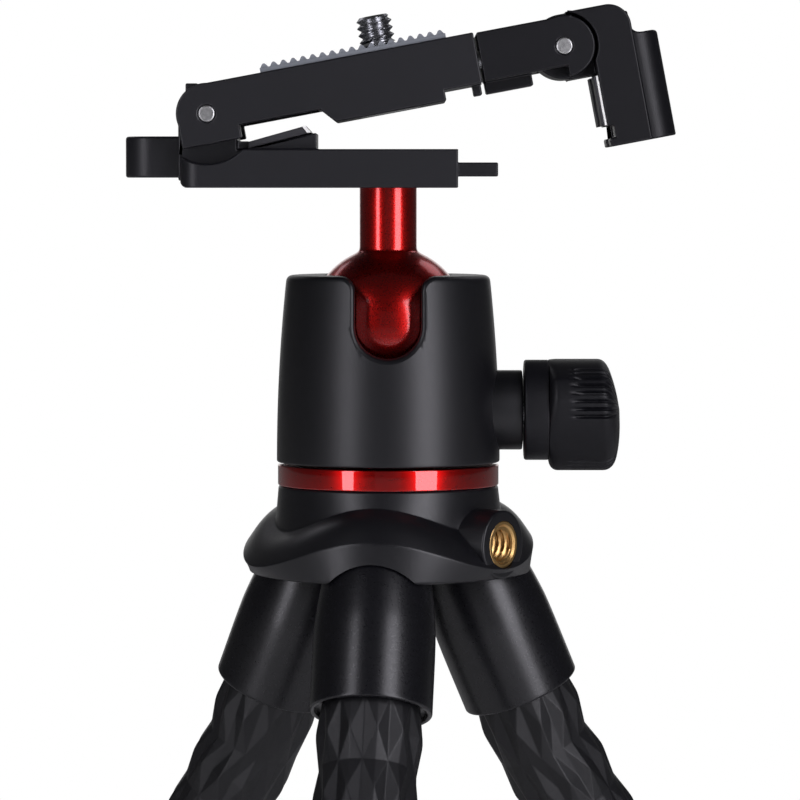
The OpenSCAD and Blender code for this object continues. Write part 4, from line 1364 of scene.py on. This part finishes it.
@dataclass
class Clamp:
    """The base with its rest and level, the folding arm with pad and screw, the slider and the claw."""

    frame: Frame
    thread: ThreadRecipe
    teeth: RidgeRecipe
    coil: CoilRecipe
    hinge: tuple[float, float] = (-31.8, ROOT_Z + 75.6)
    tilt: float = 10.7
    width: float = 24.0
    metal_edge: float = 0.28
    nylon_edge: float = 0.3
    pin_edge: float = 0.3
    rest_edge: float = 0.2
    arm_top: float = 5.3
    pad_from: float = 10.6
    pad_to: float = 43.7
    pad_base: float = 0.8
    pad_t: float = 1.5
    pad_w: float = 22.4
    ridges: int = 19
    screw_u: float = 31.8
    screw_r: float = 3.175
    screw_play: float = 0.1
    screw_tip: float = 0.7
    neck_r: float = 2.675
    screw_out: float = 5.0
    head_r: float = 5.6
    head_t: float = 2.6
    block_drop: float = 5.6
    rod_y: float = 8.2
    rod_v: float = 0.4
    spring_from: float = 22.3
    spring_to: float = 46.0
    spring_r: float = 2.02
    spring_turns: float = 9.0
    wire_r: float = 0.22
    claw_u: float = 63.8
    claw_in: float = 4.85
    grip_face: float = 7.35
    grip_end: float = 12.15
    grip_half: float = 6.5
    grip_round: float = 4.4
    strip_t: float = 0.9
    strip_from: float = 6.2
    strip_to: float = 15.0
    strip_w: float = 7.4
    strip_off: float = 4.3
    # Thickness of the pale strip under the claw's rubber, a painted highlight.
    painted_glint_t: float = 0.45
    base_left: float = 36.6
    base_low: float = ROOT_Z + 62.6
    base_round: float = 3.4
    base_round_h: float = 7.2
    under_round: float = 1.3
    lug_cut: tuple[float, ...] = (-56.6, -37.05, 0.5, 9.6)
    filler: tuple[float, ...] = (-27.0, -24.4, 6.3, 8.2)
    filler_half: float = 7.6
    lug: tuple[float, float] = (-41.8, ROOT_Z + 71.7)
    lug_r: float = 4.9
    lug_h: float = 7.3
    # Outline and half width of the pale sliver at the rest's end, a painted glint.
    painted_glint_ends: tuple[tuple[float, float], ...] = ((-15.1, 10.78), (-14.3, 9.72), (-13.5, 9.72), (-14.56, 10.93))
    painted_glint_half: float = 9.16
    vial_r: float = 3.7
    vial_h: float = 4.9

    def place(self, u: float, v: float) -> Matrix:
        """Return a place on the arm: u along it, v off the hinge line, local Z off its top."""
        return moved(self.hinge[0], z=self.hinge[1]) @ turned(-self.tilt, "Y") @ moved(u, z=v)

    def build(self) -> None:
        """Make the clamp's pieces in order."""
        self.frame.edged("clamp_base", ANODISED, self.metal_edge, self.base_tools(), (self.lug_block(),))
        self.frame.edged("arm_body", ANODISED, self.metal_edge, split=True)
        self.frame.edged("slider", NYLON, self.nylon_edge)
        self.frame.edged("claw", NYLON, self.nylon_edge, self.claw_tools())
        for node in ("arm_pin", "claw_pin"):
            self.frame.edged(node, PIN_STEEL, self.pin_edge)
        self.frame.edged("rest_pad", PAD_DARK, self.rest_edge)
        self.pad()
        self.screw()
        self.springs()
        self.strips()
        self.level()
        self.frame.keep(STEEL, "guide_rods")

    def base_tools(self) -> list[Tool]:
        """Shape what takes off the plain lug, fills in the foot of the rest and rounds the hinge end.

        Returns:
            The tools; the rounding under the end stays last, since the bevel after it is clean only then.
        """
        x, low, half = -self.base_left, self.base_low, self.width / 2
        lug, step = (oblong(a, b, low + c, low + d) for a, b, c, d in (self.lug_cut, self.filler))
        block = corner(self.base_round, low - 1, low + self.base_round_h)
        under = corner(self.under_round, -half - 1, half + 1)
        return [(prism(lug, -half, half), Matrix(), Carve.CUT),
                (prism(step, -self.filler_half, self.filler_half), Matrix(), Carve.ADD),
                (block, moved(x, -half) @ turned(180, "Z"), Carve.CUT),
                (block, moved(x, half) @ turned(90, "Z"), Carve.CUT),
                (under, moved(x, z=low) @ turned(90, "X") @ turned(180, "Z"), Carve.CUT)]

    def lug_block(self) -> Piece:
        """Make the round-ended lug with the level's pocket.

        Returns:
            The lug, a closed shell that runs into the base.
        """
        x, top = self.lug
        low, root = top - self.lug_h, 0.6 - self.base_left
        rings = []
        for inset, z in fillet([(1.2, low, 0), (0.0, low, 0.5), (0.0, top, 0.6), (1.2, top, 0)])[1:-1]:
            r = self.lug_r - inset
            rings.append([Vector((*p, z)) for p in [*arc(r, 90, 270, 32, x), (root, -r), (root, r)]])
        lug = make("lug", loft(rings), ANODISED)
        carve(lug, ANODISED, [(drum(self.vial_r, top - self.vial_h, top + 2, 64), moved(x), Carve.CUT)])
        mend(lug)
        return lug

    def claw_tools(self) -> list[Tool]:
        """Shape what rounds the claw's finger grip and lowers its top into a hollow curve.

        Returns:
            The tools, in order.
        """
        face, end, half = self.claw_in + self.grip_face, self.claw_in + self.grip_end, self.grip_half
        top = fillet([(face + 0.05, 10, 0), (face + 0.05, 0.1, 2.0), (end + 0.05, 0.1, 1.3), (end + 0.05, -1.5, 0),
                      (end + 3, -1.5, 0), (end + 3, 10, 0)], 8)
        place, side = self.place(self.claw_u, 0), corner(self.grip_round, -24.0, 8.0)
        return [(prism(top, -half - 0.5, half + 0.5), place, Carve.CUT),
                (side, place @ moved(end, half), Carve.CUT),
                (side, place @ moved(end, -half) @ turned(-90, "Z"), Carve.CUT)]

    def pad(self) -> None:
        """Make the ridged pad with the screw's hole."""
        step, half = (self.pad_to - self.pad_from) / self.ridges, self.pad_w / 2
        low, tall = self.arm_top + self.pad_base, self.pad_t - self.pad_base
        tooth = fillet([(0, 0, 0), (step * 0.06, -0.05, 0), (step * 0.34, tall, 0.3), (step * 0.6, tall, 0.3),
                        (step * 0.88, -0.05, 0), (step * 0.94, 0, 0)], 4)[1:-1]
        hole = {"Hole": (self.screw_u * MM, 0.0, self.arm_top * MM), "Radius": (self.screw_r + self.screw_play) * MM}
        bar = make("ridge", prism(tooth, -half, half), PAD_GREY)
        crests = self.teeth.grow("crests", PAD_GREY, {
            "Count": self.ridges, "Start": (self.pad_from * MM, 0.0, low * MM),
            "Step": (step * MM, 0.0, 0.0), **hole}, host=bar)
        slab = make("slab", prism(oblong(self.pad_from, self.pad_to, self.arm_top, low), -half, half), PAD_GREY)
        base = self.teeth.grow("pad_slab", PAD_GREY, {
            "Count": 1, "Start": (0.0, 0.0, 0.0), "Step": (0.0, 0.0, 0.0), **hole}, host=slab)
        pad = join("ridged_pad", [crests, base])
        place_mesh(pad, self.place(0, 0))
        mend(pad, 35)
        self.frame.put(pad, PAD_GREY, "arm_pad")

    def screw(self) -> None:
        """Make the captive camera screw."""
        base, low, high = self.arm_top + self.pad_t, -self.block_drop, -self.block_drop + self.head_t
        wall = self.thread.wall("camera_thread", STEEL, self.screw_r, self.screw_out, self.screw_tip)
        fill_ends(wall, self.thread.crease)
        place_mesh(wall, self.place(self.screw_u, base))
        shank = fillet([(0, low, 0), (self.head_r, low, 0.4), (self.head_r, high, 0.3), (self.neck_r, high, 0),
                        (self.neck_r, base + 0.4, 0), (0, base + 0.4, 0)])
        lower = make("shank", spin(shank, 64), STEEL, self.place(self.screw_u, 0))
        self.frame.put(join("captive_screw", [wall, lower]), STEEL, "camera_screw")

    def springs(self) -> None:
        """Make the two return springs at one length; nothing here shortens them as the slider comes out."""
        wire, first, last = self.wire_r, self.spring_from, self.spring_to
        pair = []
        for y in (-self.rod_y, self.rod_y):
            spring = self.coil.grow(f"spring_{len(pair)}", STEEL, {
                "Turns": self.spring_turns, "Radius": self.spring_r * MM, "Wire": wire * MM,
                "Length": (last - first - 4 * wire) * MM})
            place_mesh(spring, self.place(first + 2 * wire, self.rod_v) @ moved(y=y) @ turned(90, "Y"))
            mend(spring, 60)
            pair.append(spring)
        ends = self.place(first, self.rod_v).translation, self.place(last, self.rod_v).translation
        self.frame.bend(join("return_springs", pair), STEEL, ("slider_springs",), ("slider", "arm"), ends)

    def strips(self) -> None:
        """Make the claw's rubber strips on pale backing strips, painted highlights along their edges, and a painted
        glint at the pale end of the rest's rubber.
        """
        place, inner, middle = self.place(self.claw_u, 0), self.claw_in, self.claw_in - self.painted_glint_t
        rubber, painted_glint_strips = [], []
        for side in (-1, 1):
            low, high = sorted((side * self.strip_off, side * (self.strip_off + self.strip_w)))
            # The second pass makes the pale strips: near-white colour painted as the glint along each rubber strip's
            # edge.
            for parts, near, far, finish in ((rubber, inner - self.strip_t, middle, PAD_DARK),
                                             (painted_glint_strips, middle, inner, PAINTED_GLINT)):
                outline = oblong(near, far, -self.strip_from, -self.strip_to)
                part = make(f"strip_{finish.name}_{side + 1}", prism(outline, low, high), finish, place)
                soften(part, 0.1, 40, 2)
                parts.append(part)
        self.frame.put(join("claw_strips", rubber), PAD_DARK, "claw_pads")
        self.frame.ride(join("claw_tape", painted_glint_strips), PAINTED_GLINT, "claw")
        # The pale sliver at the end of the rest's rubber is a painted glint.
        outline = [(x, self.base_low + z) for x, z in self.painted_glint_ends]
        lip = make("rest_tape", prism(outline, -self.painted_glint_half, self.painted_glint_half), PAINTED_GLINT)
        self.frame.ride(lip, PAINTED_GLINT, "base")

    def level(self) -> None:
        """Make the bullseye level: a domed window over tinted fluid."""
        x, top = self.lug
        low, r = top - self.vial_h, self.vial_r - 0.05
        glass = fillet([(0, low, 0), (r, low, 0), (r, top - 0.35, 0.2), (self.vial_r - 0.6, top - 0.25, 0.2),
                        (1.6, top - 0.06, 1.0), (0, top, 0)])
        self.frame.put(make("level_window", spin(glass, 64), FLUID, moved(x)), FLUID, "level_vial")


def aimed(piece: Piece, spot: tuple[float, ...], aim: tuple[float, ...]) -> Piece:
    """Put a camera or a lamp somewhere and let it face a point.

    Args:
        piece: the object.
        spot: its place in millimetres.
        aim: the point in millimetres.

    Returns:
        The object.
    """
    piece.location = Vector(spot) * MM
    piece.rotation_euler = (Vector(aim) - Vector(spot)).to_track_quat("-Z", "Y").to_euler()
    return piece


@dataclass(frozen=True)
class SoftBox:
    """One lamp: its place and its size in millimetres, and how brightly its face glows."""

    name: str
    spot: tuple[float, float, float]
    size: tuple[float, float]
    glow: float

    def hang(self, aim: tuple[float, float, float]) -> None:
        """Hang the lamp so that it faces a point.

        Args:
            aim: the point in millimetres.
        """
        wide, tall = self.size
        data = bpy.data.lights.new(self.name, "AREA")
        data.shape, data.size, data.size_y = "RECTANGLE", wide * MM, tall * MM
        data.energy, data.color = self.glow * math.pi * wide * tall * MM**2, linear(LAMP_TINT)[:3]
        aimed(linked(self.name, data), self.spot, aim)


SOFT_BOXES = (
    SoftBox("left_box", (-420, -470, 300), (140, 700), 5.4),
    SoftBox("right_box", (400, -480, 300), (265, 700), 5.6),
    SoftBox("front_fill", (0, -1100, 300), (520, 700), 0.06),
    SoftBox("left_back", (-330, 430, 640), (250, 250), 0.9),
    SoftBox("right_back", (330, 430, 640), (250, 250), 0.9))


@dataclass
class Studio:
    """Floor, lamps, white surround and camera."""

    eye: tuple[float, float, float] = (2.1, -761.0, ROOT_Z + 63.45)
    aim: tuple[float, float, float] = (2.1, 0.0, ROOT_Z + 24.75)
    lens: float = 192.0
    sensor: float = 36.0
    surround: float = 0.15
    mirror: float = 0.04
    floor_half: float = 6000.0
    floor_drop: float = 0.3

    def build(self) -> None:
        """Set the view, the surround, the floor, the lamps and the camera."""
        scene = bpy.context.scene
        scene.view_settings.view_transform = "Standard"
        self.world(scene)
        self.floor()
        for box in SOFT_BOXES:
            box.hang(self.aim)
        camera = aimed(linked("camera", bpy.data.cameras.new("camera")), self.eye, self.aim)
        camera.data.lens, camera.data.sensor_width = self.lens, self.sensor
        camera.data.clip_start, camera.data.clip_end = 0.01, 50.0
        scene.camera = camera

    def world(self, scene: bpy.types.Scene) -> None:
        """Make the surround white to the eye, and in mirrors only behind the object; as light it is softer.

        Args:
            scene: the scene that takes the world.
        """
        scene.world = bpy.data.worlds.new("white_surround")
        tree = bare_tree(scene.world)
        path = add_node(tree, "ShaderNodeLightPath").outputs
        seen = node_out(tree, "ShaderNodeMath", {
            0: path["Is Camera Ray"], 1: path["Is Transmission Ray"]}, operation="MAXIMUM")
        spot = node_out(tree, "ShaderNodeNewGeometry", out="Position")
        back = node_out(tree, "ShaderNodeSeparateXYZ", {0: spot}, "Y")
        behind = node_out(tree, "ShaderNodeMapRange", {
            "Value": back, "From Min": 0.88, "From Max": 0.97, "To Min": self.mirror, "To Max": 1.0},
            interpolation_type="SMOOTHSTEP")
        shine = node_out(tree, "ShaderNodeMapRange", {
            "Value": path["Is Glossy Ray"], "To Min": self.surround, "To Max": behind})
        level = node_out(tree, "ShaderNodeMix", {0: seen, 2: shine, 3: 1.0}, data_type="FLOAT")
        light = node_out(tree, "ShaderNodeBackground", {"Color": linear("#ffffff"), "Strength": level})
        add_node(tree, "ShaderNodeOutputWorld", {"Surface": light})

    def floor(self) -> None:
        """Lay a pale floor that keeps the shadow near the legs and runs to white."""
        half = self.floor_half
        corners = [Vector((x, y, -self.floor_drop)) for x, y in oblong(-half, half, -half, half)]
        sheet = make("floor", (corners, [(0, 1, 2, 3)]), PAD_DARK)
        material = bpy.data.materials.new("pale_paper_floor")
        tree = bare_tree(material)
        place = node_out(tree, "ShaderNodeTexCoord", out="Object")
        away = node_out(tree, "ShaderNodeVectorMath", {0: place}, "Value", operation="LENGTH")
        white = node_out(tree, "ShaderNodeMapRange", {
            "Value": away, "From Min": 0.25, "From Max": 0.7, "To Min": 0.45}, interpolation_type="SMOOTHSTEP")
        camera = node_out(tree, "ShaderNodeLightPath", out="Is Camera Ray")
        seen = node_out(tree, "ShaderNodeMath", {0: white, 1: camera}, operation="MULTIPLY")
        paper = node_out(tree, "ShaderNodeBsdfDiffuse", {"Color": linear("#f4f4f4")})
        glow = node_out(tree, "ShaderNodeEmission", {"Color": linear("#ffffff"), "Strength": 1.0})
        mix = node_out(tree, "ShaderNodeMixShader", {0: seen, 1: paper, 2: glow})
        add_node(tree, "ShaderNodeOutputMaterial", {"Surface": mix})
        sheet.data.materials.clear()
        sheet.data.materials.append(material)
        sheet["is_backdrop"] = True


def main() -> None:
    """Build the studio and the tripod, sub-assembly by sub-assembly."""
    logging.basicConfig(level=logging.INFO, format="%(name)s %(message)s")
    frame = Frame()
    Studio().build()
    thread, skin = ThreadRecipe(), SkinRecipe()
    legs = [Leg(frame, skin, name, FRONT + 120 * i) for i, name in enumerate(("front", "right", "left"))]
    Crown(frame, thread, legs).build()
    for leg in legs:
        leg.build()
    frame.keep(ROD, "core_roots")
    BallHead(frame, GrooveRecipe()).build()
    Clamp(frame, thread, RidgeRecipe(), CoilRecipe()).build()
    LOG.info("undressed solids: %s", sorted(set(frame.nodes) - frame.dressed))


if __name__ == "__main__":
    main()
